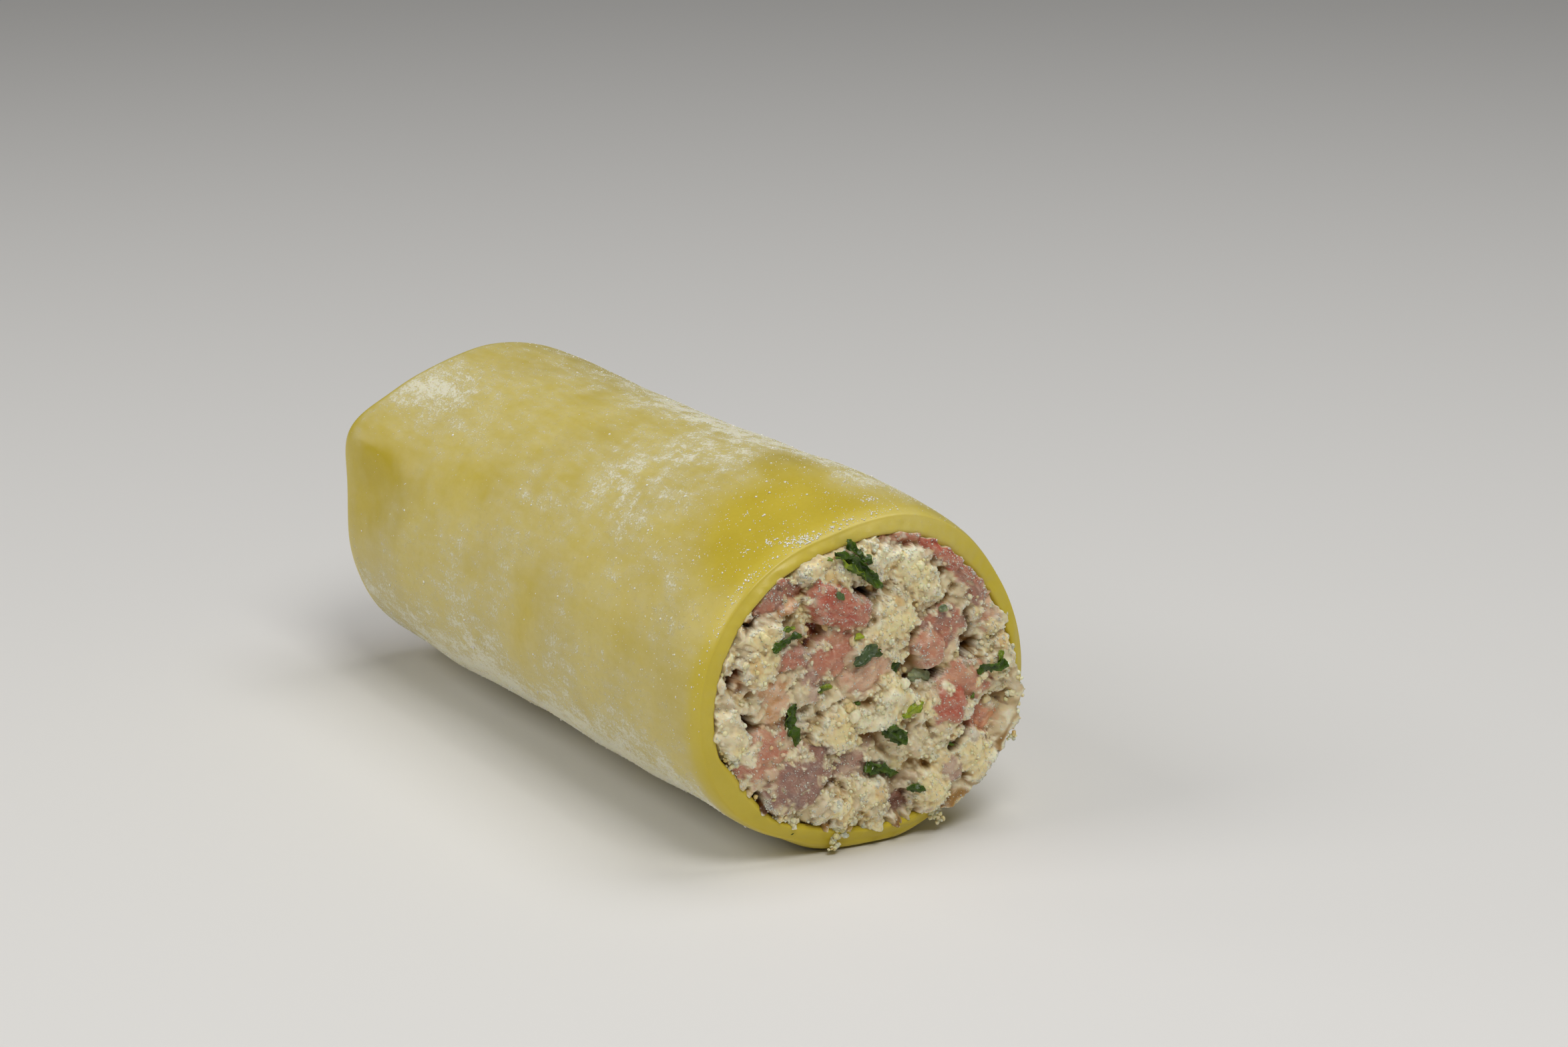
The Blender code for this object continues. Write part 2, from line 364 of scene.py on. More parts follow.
def tube_points():
    """Rings over the outside, round the front lip, back inside, and round the far lip."""
    a = ANGLES
    rings, kinds = [], []

    def add(points, outer, lip):
        rings.append(points)
        kinds.append((np.broadcast_to(outer, a.shape), np.broadcast_to(lip, a.shape)))

    for x in lengthwise_stations():
        depth = min(HALF - x, HALF + x)
        # the surface leaves its plain run for the lip over the last millimetre
        lip = smooth(2.4 - depth, 0.0, 1.8) if x > 0 else smooth(2.0 - depth, 0.0, 1.6)
        follow = cut_wave(a, 1 if x > 0 else -1) * (1 - smooth(depth, 0.0, 6.0)) * (1 if x > 0 else -1)
        add(around(x + follow, a, tube_radius(a, np.full_like(a, x)), floor=lip_floor(a, depth, 1 if x > 0 else -1)), 1.0, float(lip))

    def lip_rings(end):
        """From where the outside faces forward, over the nearly flat cut, to its inner edge."""
        made = []
        turn_in = TURN_IN(a, end)
        thick = wall(a, end)
        outer_r = cut_radius(a, end) - turn_in
        for k in range(1, 12):
            t = k / 11
            inward = thick * (1 - (1 - t) ** 1.25)
            ahead = 0.46 * (1 - (1 - min(1.0, t / 0.62)) ** 1.35) - 0.60 * max(0.0, (t - 0.62) / 0.38) ** 2
            radius = outer_r - inward
            lift = turn_in + inward
            grit = 0.08 * noise1(9 * np.cos(a), 9 * np.sin(a), 5.0 * end + 2 * t, 12) + 0.05 * noise1(22 * np.cos(a), 22 * np.sin(a), 5.0 * end + 2 * t, 13)
            grit = grit + 0.09 * noise1(34 * np.cos(a), 34 * np.sin(a), 5.0 * end + 1.5 * t, 14) * hump(a, 52, 30)
            made.append(around(end * (HALF + cut_wave(a, end) + ahead + grit * math.sin(math.pi * t)), a, radius, floor=np.minimum(lift, thick) * 0.9))
        return made

    front = lip_rings(1)
    for points in front:
        add(points, 0.0, 1.0)
    inner_x = [HALF - d for d in (0.9, 1.8, 3.5, 7.0, 14.0, 24.0)]
    for x in inner_x + [-v for v in reversed(inner_x)]:
        end = 1 if x > 0 else -1
        add(around(x, a, tube_radius(a, np.full_like(a, x)) - wall(a, end) * 1.0, floor=WALL), 0.0, 0.6)
    for points in reversed(lip_rings(-1)):
        add(points, 0.0, 1.0)
    outer = np.stack([k[0] for k in kinds])
    lip = np.stack([k[1] for k in kinds])
    return np.stack(rings), outer, lip


TUBE, TUBE_OUTER, TUBE_LIP = tube_points()


def find_shift():
    """Moves the roll's own axes onto the frame: same middle, same floor."""
    low, high = (np.array(v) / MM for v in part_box("pasta"))
    mine_low, mine_high = TUBE.reshape(-1, 3).min(0), TUBE.reshape(-1, 3).max(0)
    shift = (low + high) / 2 - (mine_low + mine_high) / 2
    shift[2] = low[2] - mine_low[2]
    return shift


SHIFT = np.zeros(3)
SHIFT = find_shift()


# ---------------------------------------------------------------------------- flour
def flour_density(a, depth):
    """How thickly flour lies on the outside: 0 bare, 1 powdery white."""
    d = np.degrees(wrap(a))
    x = depth
    c, s = np.cos(a), np.sin(a)
    blotch = fbm(x * 0.16, 2.6 * c, 2.6 * s, 41, 3)
    patch = fbm(x * 0.42, 6.5 * c, 6.5 * s, 57, 3)
    turn = lambda at: np.degrees(wrap(a - math.radians(at)))
    brushed = fbm(x * 0.75 + turn(120) * 0.10, x * 0.07 - turn(120) * 0.045, 5.0, 93, 3)
    f = 0.45 + 0.24 * blotch + 0.15 * patch + 0.14 * brushed
    # bare: the shoulder above the front cut, running slantwise back over the top
    slant = (turn(112) + 1.5 * (x - 7)) / 1.0
    bare = np.exp(-((turn(112) / 36) ** 2) - ((np.maximum(0, x - 2) / 10.5) ** 2) - 0.0 * slant)
    bare = np.maximum(bare, 0.85 * np.exp(-(((turn(88) + 0.8 * (x - 12)) / 14) ** 2) - (((x - 12) / 6.0) ** 2)))
    f = f * (1 - 0.97 * smooth(bare, 0.18, 0.62))
    # white: swept over the upper front side in slanting streaks
    streak = fbm(x * 0.9 + turn(120) * 0.11, x * 0.10 - turn(120) * 0.05, 0.0, 91, 3)
    swept = np.exp(-(((turn(122) + 1.1 * (x - 25)) / 17) ** 2) - (((x - 25) / 8.5) ** 2))
    swept = np.maximum(swept, 0.8 * np.exp(-((turn(101) / 13) ** 2) - (((x - 22) / 8) ** 2)))
    f = f + swept * (0.20 + 0.56 * streak)
    # white along the very top
    crest = np.exp(-((turn(68) / 16) ** 2)) * smooth(x + 3 * blotch, 1, 12) * (1 - smooth(x + 8 * blotch, 36, 58))
    f = f + crest * (0.52 + 0.44 * patch + 0.34 * streak)
    # white underneath on the front side, where the roll lay in flour
    low = np.exp(-((turn(-138) / 24) ** 2)) * smooth(x, 0.8, 2.6) * (1 - 0.35 * smooth(x, 48, 60))
    f = f + low * (0.62 + 0.16 * patch)
    # the far shoulder's flat is white, the hollow under its fold is bare
    far = LENGTH - x
    f = f + 0.38 * np.exp(-((turn(124) / 17) ** 2) - (((far - 4.0) / 6.5) ** 2))
    # rubbed off the flank just behind the front cut
    f = f - 0.30 * np.exp(-((turn(192) / 24) ** 2) - (((x - 4.0) / 4.5) ** 2))
    f = f - 0.55 * np.exp(-((turn(157) / 11) ** 2) - (((far - 6.0) / 4.5) ** 2))
    f = f - 0.30 * np.exp(-((turn(176) / 16) ** 2) - (((far - 3.0) / 4.5) ** 2))
    # less in the slack crease on the flank and in a few rubbed places
    f = f - 0.38 * np.exp(-(((x - 29.5 - 0.05 * turn(180)) / 1.9) ** 2) - ((turn(-174) / 24) ** 2))
    f = f - 0.22 * np.exp(-(((x - 38) / 6) ** 2) - ((turn(108) / 9) ** 2))
    f = f - 0.20 * np.exp(-(((x - 47) / 6) ** 2) - ((turn(150) / 14) ** 2))
    f = f - 0.16 * np.exp(-(((x - 15) / 5) ** 2) - ((turn(172) / 18) ** 2))
    # the lip is wiped nearly clean at both cuts
    f = f * smooth(x, 0.5, 2.6) * smooth(far, 0.4, 2.0)
    return np.clip(f, 0.0, 1.15)


# ---------------------------------------------------------------------------- pasta
def pasta_material():
    k = Kit("pasta_dough")
    flour, lip = k.attribute("flour"), k.attribute("lip")
    streaks = k.stretched(scale=(0.55, 1.6, 1.6), turn=(0, 0, 0.25))
    n_fine = k.noise(0.16, 2.0, 0.6)
    n_mid = k.noise(0.42, 3.0, 0.6)
    n_wide = k.noise(1.5, 3.0, 0.55, vector=streaks)
    n_tone = k.noise(9.0, 2.0, 0.5)
    # grains cling where the flour lies thicker
    reach = k.math("MULTIPLY_ADD", flour, 0.95, -0.52)
    reach = k.math("ADD", reach, k.math("MULTIPLY_ADD", n_fine, 1.25, -0.625))
    reach = k.math("ADD", reach, k.math("MULTIPLY_ADD", n_mid, 1.05, -0.525))
    reach = k.math("ADD", reach, k.math("MULTIPLY_ADD", n_wide, 0.9, -0.45))
    grains = k.ramp(reach, -0.04, 0.40)
    haze = k.math("MULTIPLY", flour, k.ramp(n_wide, 0.25, 0.75, 0.36, 0.68))
    cover = k.math("MAXIMUM", k.math("MULTIPLY", grains, 0.86), haze, clamp=True)
    dough = k.mix(k.ramp(n_tone, 0.35, 0.65), (0.545, 0.420, 0.030), (0.610, 0.480, 0.050))
    dough = k.mix(k.ramp(n_mid, 0.3, 0.75, 0.0, 0.25), dough, (0.490, 0.365, 0.022))
    # the lip is painted a lighter, clearer yellow: partly the bare dough of the cut, partly painted light on its
    # forward face
    dough = k.mix(k.math("MULTIPLY", lip, 0.55), dough, (0.66, 0.525, 0.036))
    colour = k.mix(cover, dough, (0.79, 0.775, 0.63))
    roughness = k.ramp(cover, 0.0, 0.75, 0.30, 0.86)
    height = k.math("ADD", k.math("MULTIPLY", grains, 1.0), k.math("MULTIPLY", n_mid, 0.35))
    normal = k.bump(height, 0.045, 0.9)
    return k.set(
        Base_Color=colour,
        Roughness=roughness,
        Normal=normal,
        Subsurface_Weight=0.22,
        Subsurface_Radius=(1.0, 0.75, 0.16),
        Subsurface_Scale=0.0011,
        IOR=1.42,
    )


def make_pasta():
    rings, columns = TUBE.shape[:2]
    depth = HALF - TUBE[..., 0]
    flour = flour_density(np.broadcast_to(ANGLES, (rings, columns)), depth) * TUBE_OUTER
    # the pressed lap is pale where it comes over the lip; this paleness is partly painted sheen along the lip's top
    pale = 0.26 * hump(ANGLES, 68, 34) + 0.10 * hump(ANGLES, 150, 60)
    flour = np.maximum(flour, (pale * (TUBE[..., 0] > HALF - 2.5)) * TUBE_LIP)
    faces = grid_faces(rings, columns, wrap_columns=True)
    # close the skin from the last ring back to the first
    last = (rings - 1) * columns
    c = np.arange(columns)
    n = (c + 1) % columns
    faces = np.concatenate([faces, np.stack([last + c, last + n, n, c], -1)])
    piece = make_mesh(
        "pasta_sheet", TUBE.reshape(-1, 3), [faces[:, ::-1]], pasta_material(), values={"flour": flour, "lip": TUBE_LIP}
    )
    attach(piece, "root")
    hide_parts("pasta")
    return piece


pasta = make_pasta()


# ---------------------------------------------------------------------------- filling
# tints, as linear light
CREAM = (0.88, 0.765, 0.485)
GREIGE = (0.68, 0.57, 0.37)
CRUMB = (0.93, 0.785, 0.425)
CRUST = (0.80, 0.58, 0.26)
PALE = (0.95, 0.88, 0.62)
# painted shade: the dark warm brown that the hollows are tinted with
CREVICE_SHADE = (0.17, 0.070, 0.015)
RED = (0.50, 0.130, 0.078)
ROSE = (0.54, 0.235, 0.150)
PINK = (0.61, 0.365, 0.235)
SALMON = (0.74, 0.40, 0.21)
AMBER = (0.62, 0.37, 0.150)
MAUVE = (0.37, 0.222, 0.172)
PLUM = (0.27, 0.178, 0.155)
FAT = (0.76, 0.60, 0.42)
SMOKE = (0.62, 0.53, 0.41)
# painted shade: the dark brown-red of ham lying in shade
HAM_IN_SHADE = (0.17, 0.062, 0.028)

STEP = 0.06
RASTER_Y = np.arange(-17.4, 17.4, STEP)
RASTER_Z = np.arange(-1.2, 31.2, STEP)


class Mouth:
    """Relief, tint and wetness of the filling over one cut, on a fine raster across it."""

    def __init__(self, end, seed):
        self.end = end
        self.seed = seed
        self.rng = np.random.default_rng(seed)
        self.Y, self.Z = np.meshgrid(RASTER_Y, RASTER_Z)
        self.A = np.arctan2(self.Z - CENTRE_Z, self.Y)
        self.R = np.hypot(self.Y, self.Z - CENTRE_Z)
        self.edge = self.rim_radius(self.A)
        self.rho = self.R / self.edge
        y, z, s = self.Y, self.Z, float(seed)
        # outlines are broken by the same slow and quick wander of place
        self.slow = (0.55 * noise1(y / 1.5, z / 1.5, s, 21), 0.55 * noise1(y / 1.5, z / 1.5, s, 23))
        self.quick = (
            0.17 * noise1(y / 0.50, z / 0.50, s, 25) + 0.09 * noise1(y / 0.21, z / 0.21, s, 26),
            0.17 * noise1(y / 0.50, z / 0.50, s, 27) + 0.09 * noise1(y / 0.21, z / 0.21, s, 28),
        )
        dome = 0.30 + 0.62 * (1 - np.minimum(self.rho, 1.15) ** 2)
        self.limit = dome + 0.50
        self.h = dome + 1.05 * noise1(y / 3.6, z / 3.6, s, 3) + 0.42 * noise1(y / 1.8, z / 1.8, s, 4)
        # it breaks into clods, with cracks between them
        wy, wz = y + 0.5 * self.slow[0], z + 0.5 * self.slow[1]
        self.cracks = 0.75 * (1 - smooth(np.abs(noise1(wy / 3.2, wz / 3.2, s, 6)), 0.0, 0.26))
        self.cracks = np.maximum(self.cracks, 0.28 * (1 - smooth(np.abs(noise1(wy / 1.7, wz / 1.7, s, 7)), 0.0, 0.26)))
        self.h -= 0.9 * self.cracks
        share = smooth(fbm(y / 2.3, z / 2.3, s, 5, 3), -0.35, 0.4)[..., None]
        self.tint = np.array(GREIGE) * (1 - share) + np.array(CREAM) * share
        self.wet = np.full_like(self.h, 0.45)
        self.meat = np.zeros_like(self.h)
        self.crumb = np.zeros_like(self.h)
        self.pit = np.zeros_like(self.h)

    def rim_radius(self, a):
        return cut_radius(a, self.end) - wall(a, self.end) - TURN_IN(a, self.end) + 0.10

    def window(self, y, z, reach):
        i0, i1 = np.searchsorted(RASTER_Y, (y - reach, y + reach))
        j0, j1 = np.searchsorted(RASTER_Z, (z - reach, z + reach))
        return (slice(j0, j1), slice(i0, i1)) if i0 < i1 and j0 < j1 else None

    def local(self, cut, y, z, turn, slow, quick):
        dy = self.Y[cut] - y + slow * self.slow[0][cut] + quick * self.quick[0][cut]
        dz = self.Z[cut] - z + slow * self.slow[1][cut] + quick * self.quick[1][cut]
        c, s = math.cos(turn), math.sin(turn)
        return dy * c + dz * s, -dy * s + dz * c

    def level(self, y, z, half=0.6):
        cut = self.window(y, z, half)
        if not cut:
            return 0.0
        here, limit = float(np.median(self.h[cut])), float(self.limit[cut].mean())
        return here if here < limit else limit + 0.22 * (here - limit)

    def hollow(self, y, z, a, b, turn, deep):
        a, b, deep = 1.30 * a, 1.30 * b, 1.75 * deep
        cut = self.window(y, z, 1.7 * max(a, b) + 0.6)
        p, q = self.local(cut, y, z, math.radians(turn), 0.6, 1.2)
        share = 1 - smooth(np.hypot(p / a, q / b), 0.25, 1.15)
        self.h[cut] -= deep * share
        self.pit[cut] = np.maximum(self.pit[cut], share)
        # painted shade: the hollow is tinted dark brown towards its middle
        dark = (0.95 * share)[..., None]
        self.tint[cut] = self.tint[cut] * (1 - dark) + np.array(CREVICE_SHADE) * dark
        self.wet[cut] = self.wet[cut] * (1 - share) + 0.9 * share

    def chunk(self, y, z, a, b, turn, lift, tint, other, bend=0.0, coat=0.35, tilt=0.0):
        """A piece of ham: half sizes a and b, how far it stands out, its two tints, and how it curves."""
        a, b = a * 1.16, b * 1.22
        tag = y * 1.7 + z * 0.9 + self.seed
        cut = self.window(y, z, 1.35 * max(a, b) + 0.9)
        if cut is None:
            return
        p, q = self.local(cut, y, z, math.radians(turn), min(1.0, 0.45 * min(a, b)), 0.75)
        q = q + bend * (p / a) ** 2
        rho = np.sqrt((np.abs(p) / a) ** 2.5 + (np.abs(q) / b) ** 2.5)
        near = rho < 1.0
        base = self.level(y, z, 0.8)
        form = np.maximum(0.0, 1 - rho**2.4) ** 0.55
        fibre = noise1(p * 0.9, q * 3.6, tag, 33) * 0.6 + noise1(p * 2.3, q * 8.5, tag, 34) * 0.4
        folds = noise1(p * 0.9 / max(0.6, a * 0.5), q * 1.6 / max(0.5, b * 0.5), tag, 35)
        broken = noise1(p / 0.5, q / 0.5, tag, 38)
        h = self.h[cut]
        top = base - 0.45 + (lift + 0.45) * form + tilt * q / b + 0.045 * fibre + (0.26 * folds + 0.07 * broken) * form
        taken = (top > h) & near
        share = smooth(form, 0.0, 0.30) * near
        mixed = smooth(0.5 + 0.55 * noise1(p * 0.8, q * 1.2, tag, 36) + 0.25 * fibre, 0.20, 0.85)[..., None]
        body = np.array(tint) * (1 - mixed) + np.array(other) * mixed
        body = body * np.array((1.04, 0.90, 0.86)) * (1 + 0.08 * fibre)[..., None]
        self.h[cut] = np.where(taken, top, h)
        share = np.where(taken, np.maximum(share, 0.55), share * 0.35)
        # crumb paste clings to its edges and in ragged patches
        ragged = fbm(p * 1.15, q * 1.15, tag, 37, 3) + 0.25 * broken
        clings = smooth(ragged + 0.9 * (rho - 0.72) + 0.75 * (coat - 0.45), -0.06, 0.22)
        clings = clings * min(1.0, 0.55 + coat)
        self.h[cut] += np.where(taken, 0.13 * clings * (1 + 0.8 * noise1(p / 0.25, q / 0.25, tag, 40)), 0.0)
        blend = (share * (1 - clings))[..., None]
        self.tint[cut] = self.tint[cut] * (1 - blend) + body * blend
        self.wet[cut] = self.wet[cut] * (1 - share) + 0.9 * share
        self.meat[cut] = np.maximum(self.meat[cut], share * (1 - 0.7 * clings))
        self.crumb[cut] = np.maximum(self.crumb[cut], share * clings)

    def stamp(self, y, z, r, flat, lift, tint, squeeze=1.0, turn=0.0, blend=1.0, slow=0.0, quick=0.5, sharp=0.5, kind=1.0):
        """A clump or a grain set into the surface."""
        cut = self.window(y, z, r / squeeze + 0.30 * quick + 0.5 * slow + STEP)
        if cut is None:
            return
        p, q = self.local(cut, y, z, turn, slow, quick)
        d2 = ((p * squeeze) ** 2 + q * q) / (r * r)
        h = self.h[cut]
        base = self.level(y, z, 0.35 * r + STEP)
        top = base + lift + flat * r * (np.maximum(0.0, 1 - d2) ** sharp - 0.60)
        taken = (top > h) & (d2 < 1)
        self.h[cut] = np.where(taken, top, h)
        share = (taken * blend)[..., None]
        self.tint[cut] = self.tint[cut] * (1 - share) + np.array(tint) * share
        self.wet[cut] = np.where(taken, 0.25, self.wet[cut])
        self.meat[cut] = np.where(taken, self.meat[cut] * 0.35, self.meat[cut])
        self.crumb[cut] = np.where(taken, kind, self.crumb[cut])

    def at(self, field, y, z):
        """Bilinear reading of a raster at places (y, z)."""
        u = np.clip((y - RASTER_Y[0]) / STEP, 0, len(RASTER_Y) - 1.001)
        v = np.clip((z - RASTER_Z[0]) / STEP, 0, len(RASTER_Z) - 1.001)
        i, j = u.astype(int), v.astype(int)
        fu, fv = u - i, v - j
        if field.ndim == 3:
            fu, fv = fu[..., None], fv[..., None]
        return (
            field[j, i] * (1 - fu) * (1 - fv)
            + field[j, i + 1] * fu * (1 - fv)
            + field[j + 1, i] * (1 - fu) * fv
            + field[j + 1, i + 1] * fu * fv
        )

    def spot(self):
        r = math.sqrt(self.rng.random()) * 1.02
        t = self.rng.random() * TAU
        edge = float(self.rim_radius(np.array(t)))
        return edge * r * math.cos(t), CENTRE_Z + edge * r * math.sin(t)

    def crumble(self, clusters, clumps=760, grains=6200):
        """Clumps of crumb, then the fine grains that they are made of."""
        rng = self.rng
        tints = np.array([CRUMB, CREAM, PALE, GREIGE, CRUST, SMOKE])
        made = []
        for _ in range(clumps):
            clustered = bool(clusters) and rng.random() < 0.55
            if clustered:
                cy, cz, ca, cb = clusters[rng.integers(len(clusters))][:4]
                y, z = cy + rng.normal() * ca * 0.50, cz + rng.normal() * cb * 0.50
            else:
                y, z = self.spot()
            made.append((y, z, clustered, 0.34 + 1.05 * rng.random() ** 2.0))
        made.sort(key=lambda m: -m[3])
        for y, z, clustered, r in made:
            if r > 0.35 and float(self.at(self.pit, np.array(y), np.array(z))) > 0.30 and rng.random() < 0.85:
                continue
            meat = max(float(self.at(self.meat, np.array(y + i * 0.6 * r), np.array(z + j * 0.6 * r))) for i, j in ((0, 0), (1, 0), (-1, 0), (0, 1), (0, -1)))
            if rng.random() < min(1.0, 1.3 * meat) * (0.80 if clustered else 0.97) * (0.6 if r < 0.5 else 1.0):
                continue
            if clustered:
                tint = tints[rng.choice(6, p=(0.42, 0.16, 0.22, 0.06, 0.12, 0.02))]
            else:
                tint = tints[rng.choice(6, p=(0.22, 0.32, 0.14, 0.20, 0.04, 0.08))]
            tint = tint * (0.93 + 0.12 * rng.random())
            lift = -0.12 + 0.26 * rng.random() + (0.12 if clustered else 0.0)
            self.stamp(y, z, r, 0.55 + 0.40 * rng.random(), lift, tint, 0.55 + 0.45 * rng.random(), rng.random() * math.pi, 0.85, 0.9, 1.35, 0.50, 1.0 if clustered else 0.6)
        self.h = blur(self.h, 0.085 / STEP)
        # broken surfaces: rough on crumb, soft on paste and meat
        y, z, s = self.Y, self.Z, float(self.seed)
        rough = fbm(y / 0.75, z / 0.75, s, 61, 3)
        fine = fbm(y / 0.30, z / 0.30, s, 62, 2)
        keep = (1 - 0.80 * self.meat) * (0.45 + 0.55 * self.crumb)
        medium = fbm(y / 1.9, z / 1.9, s, 63, 2)
        self.h += (0.42 * medium + 0.13 * rough + 0.05 * fine) * keep - 0.35 * self.cracks * keep
        frost = smooth(0.75 * noise1(y / 0.17, z / 0.17, s, 64) + 0.55 * fbm(y / 1.1, z / 1.1, s, 65, 2), -0.02, 0.62)
        frost = (0.40 * frost * smooth(self.meat, 0.2, 0.6))[..., None]
        self.tint = self.tint * (1 - frost) + np.array((0.78, 0.655, 0.50)) * frost
        self.h += 0.06 * frost[..., 0]
        for _ in range(grains):
            y, z = self.spot()
            crumb = float(self.at(self.crumb, np.array(y), np.array(z)))
            meat = float(self.at(self.meat, np.array(y), np.array(z)))
            if rng.random() > 0.12 + 0.88 * crumb or rng.random() < meat * 0.85:
                continue
            r = 0.09 + 0.17 * rng.random() ** 2.2
            near = self.at(self.tint, np.array(y), np.array(z))
            tint = near * 0.62 + 0.38 * tints[rng.choice(6, p=(0.34, 0.18, 0.30, 0.06, 0.10, 0.02))]
            self.stamp(y, z, r, 0.8, 0.02 + 0.06 * rng.random(), tint * (0.97 + 0.10 * rng.random()), 0.6 + 0.4 * rng.random(), rng.random() * math.pi, 0.75, 0.0, 0.25, 0.5, crumb)

    def settle(self, overhang=None):
        """Last touches: a ragged edge by the sheet, painted shade down the crevices, and painted highlights on the
        tops.
        """
        y, z, s = self.Y, self.Z, float(self.seed)
        ragged = fbm(y / 1.1, z / 1.1, s, 71, 3)
        sunk = smooth(self.rho + 0.05 * ragged, 0.93, 1.03)
        if overhang is not None:
            sunk = sunk * (1 - overhang(self.A))
        self.h -= sunk * (0.05 + 0.40 * ragged)
        over = np.maximum(0.0, self.h - self.limit - 0.55)
        self.h = self.h - over + 0.45 * (1 - np.exp(-over / 0.45))
        self.h = np.maximum(self.h, -2.4)
        # painted shade: the tint goes dark warm brown down the crevices and between the clumps
        wide = self.h - blur(self.h, 0.80 / STEP)
        near = self.h - blur(self.h, 0.20 / STEP)
        shade = smooth(wide, -0.80, -0.02) * (0.56 + 0.44 * smooth(near, -0.15, 0.02))
        shade = np.clip(shade, 0.0, 1.0)[..., None]
        deep = self.tint * np.array((0.42, 0.27, 0.11))
        self.tint = deep * (1 - shade) + self.tint * shade
        self.crest = smooth(near, 0.0, 0.14) * smooth(wide, -0.2, 0.3)
        # painted highlight: the tops of the clumps are lightened towards pale cream, less on the meat
        crest = smooth(near, 0.01, 0.15)[..., None] * 0.50 * (1 - 0.50 * self.meat[..., None])
        self.tint = self.tint * (1 - crest) + np.array((0.98, 0.94, 0.80)) * crest


def lip_overhang(a):
    """Where crumbs spill over the sheet's front lip: low on the back side."""
    d = np.degrees(wrap(a))
    return smooth(d, -66, -56) * (1 - smooth(d, -14, -2))


# ham in the front cut: place across it, half sizes, turn, stand-out, tints
FRONT_HAM = [
    # y, z, a, b, turn, lift, tint, other, bend, coat, tilt
    (-6.56, 7.35, 2.9, 2.3, 25, 0.85, MAUVE, PLUM, 0.0, 0.40, 0.1),
    (-9.60, 9.80, 2.9, 2.1, 20, 0.95, PINK, ROSE, 0.0, 0.60, 0.0),
    (-1.40, 7.80, 2.3, 1.7, -15, 0.35, SMOKE, MAUVE, 0.2, 0.45, 0.0),
    (3.60, 4.30, 1.9, 1.3, 12, 0.25, HAM_IN_SHADE, MAUVE, 0.0, 0.10, 0.0),
    (7.80, 5.90, 1.5, 1.2, -20, 0.25, SMOKE, MAUVE, 0.0, 0.40, 0.0),
    (8.40, 12.3, 3.3, 2.1, 18, 0.45, PINK, ROSE, 0.2, 0.45, 0.2),
    (7.35, 11.6, 1.6, 1.6, 0, 0.72, RED, ROSE, 0.0, 0.05, -0.2),
    (11.1, 9.30, 1.6, 1.5, 60, 0.50, SALMON, ROSE, 0.0, 0.30, 0.0),
    (6.70, 17.3, 2.6, 1.9, 35, 0.60, MAUVE, ROSE, 0.0, 0.35, 0.2),
    (5.50, 16.5, 1.3, 1.4, 0, 0.95, ROSE, PINK, 0.0, 0.15, 0.0),
    (-3.00, 21.2, 2.9, 1.45, -28, 0.95, RED, ROSE, -0.5, 0.15, 0.3),
    (-3.20, 17.6, 2.7, 1.6, 35, 0.70, ROSE, PINK, 0.4, 0.35, -0.2),
    (-5.40, 19.3, 1.6, 1.0, -60, -0.10, RED, HAM_IN_SHADE, 0.0, 0.0, 0.0),
    (-7.00, 17.7, 1.9, 0.9, -5, 0.55, ROSE, MAUVE, 0.2, 0.30, 0.0),
    (-8.10, 23.1, 2.1, 1.4, 25, 0.60, MAUVE, ROSE, 0.0, 0.20, 0.0),
    (-7.50, 21.9, 0.95, 0.5, 10, 0.85, AMBER, SALMON, 0.0, 0.20, 0.0),
    (-9.00, 15.0, 1.6, 2.5, 15, 0.62, AMBER, FAT, 0.0, 0.45, 0.0),
    (-0.40, 15.2, 2.6, 1.6, 28, 0.95, FAT, PINK, -0.3, 0.35, 0.2),
    (-5.50, 15.2, 1.0, 1.6, 10, 0.40, SMOKE, MAUVE, 0.0, 0.40, 0.0),
    (3.60, 26.2, 2.6, 0.8, -14, 0.65, ROSE, PINK, 0.3, 0.30, 0.0),
    (7.30, 24.5, 2.5, 0.95, -38, 0.70, RED, ROSE, 0.3, 0.15, 0.0),
    (10.1, 21.4, 2.3, 1.1, -62, 0.42, MAUVE, ROSE, 0.3, 0.35, 0.0),
    (11.6, 18.3, 1.7, 1.0, -80, 0.30, PINK, FAT, 0.0, 0.45, 0.0),
    (-11.6, 16.2, 0.7, 1.1, 0, -0.1, AMBER, HAM_IN_SHADE, 0.0, 0.30, 0.0),
]
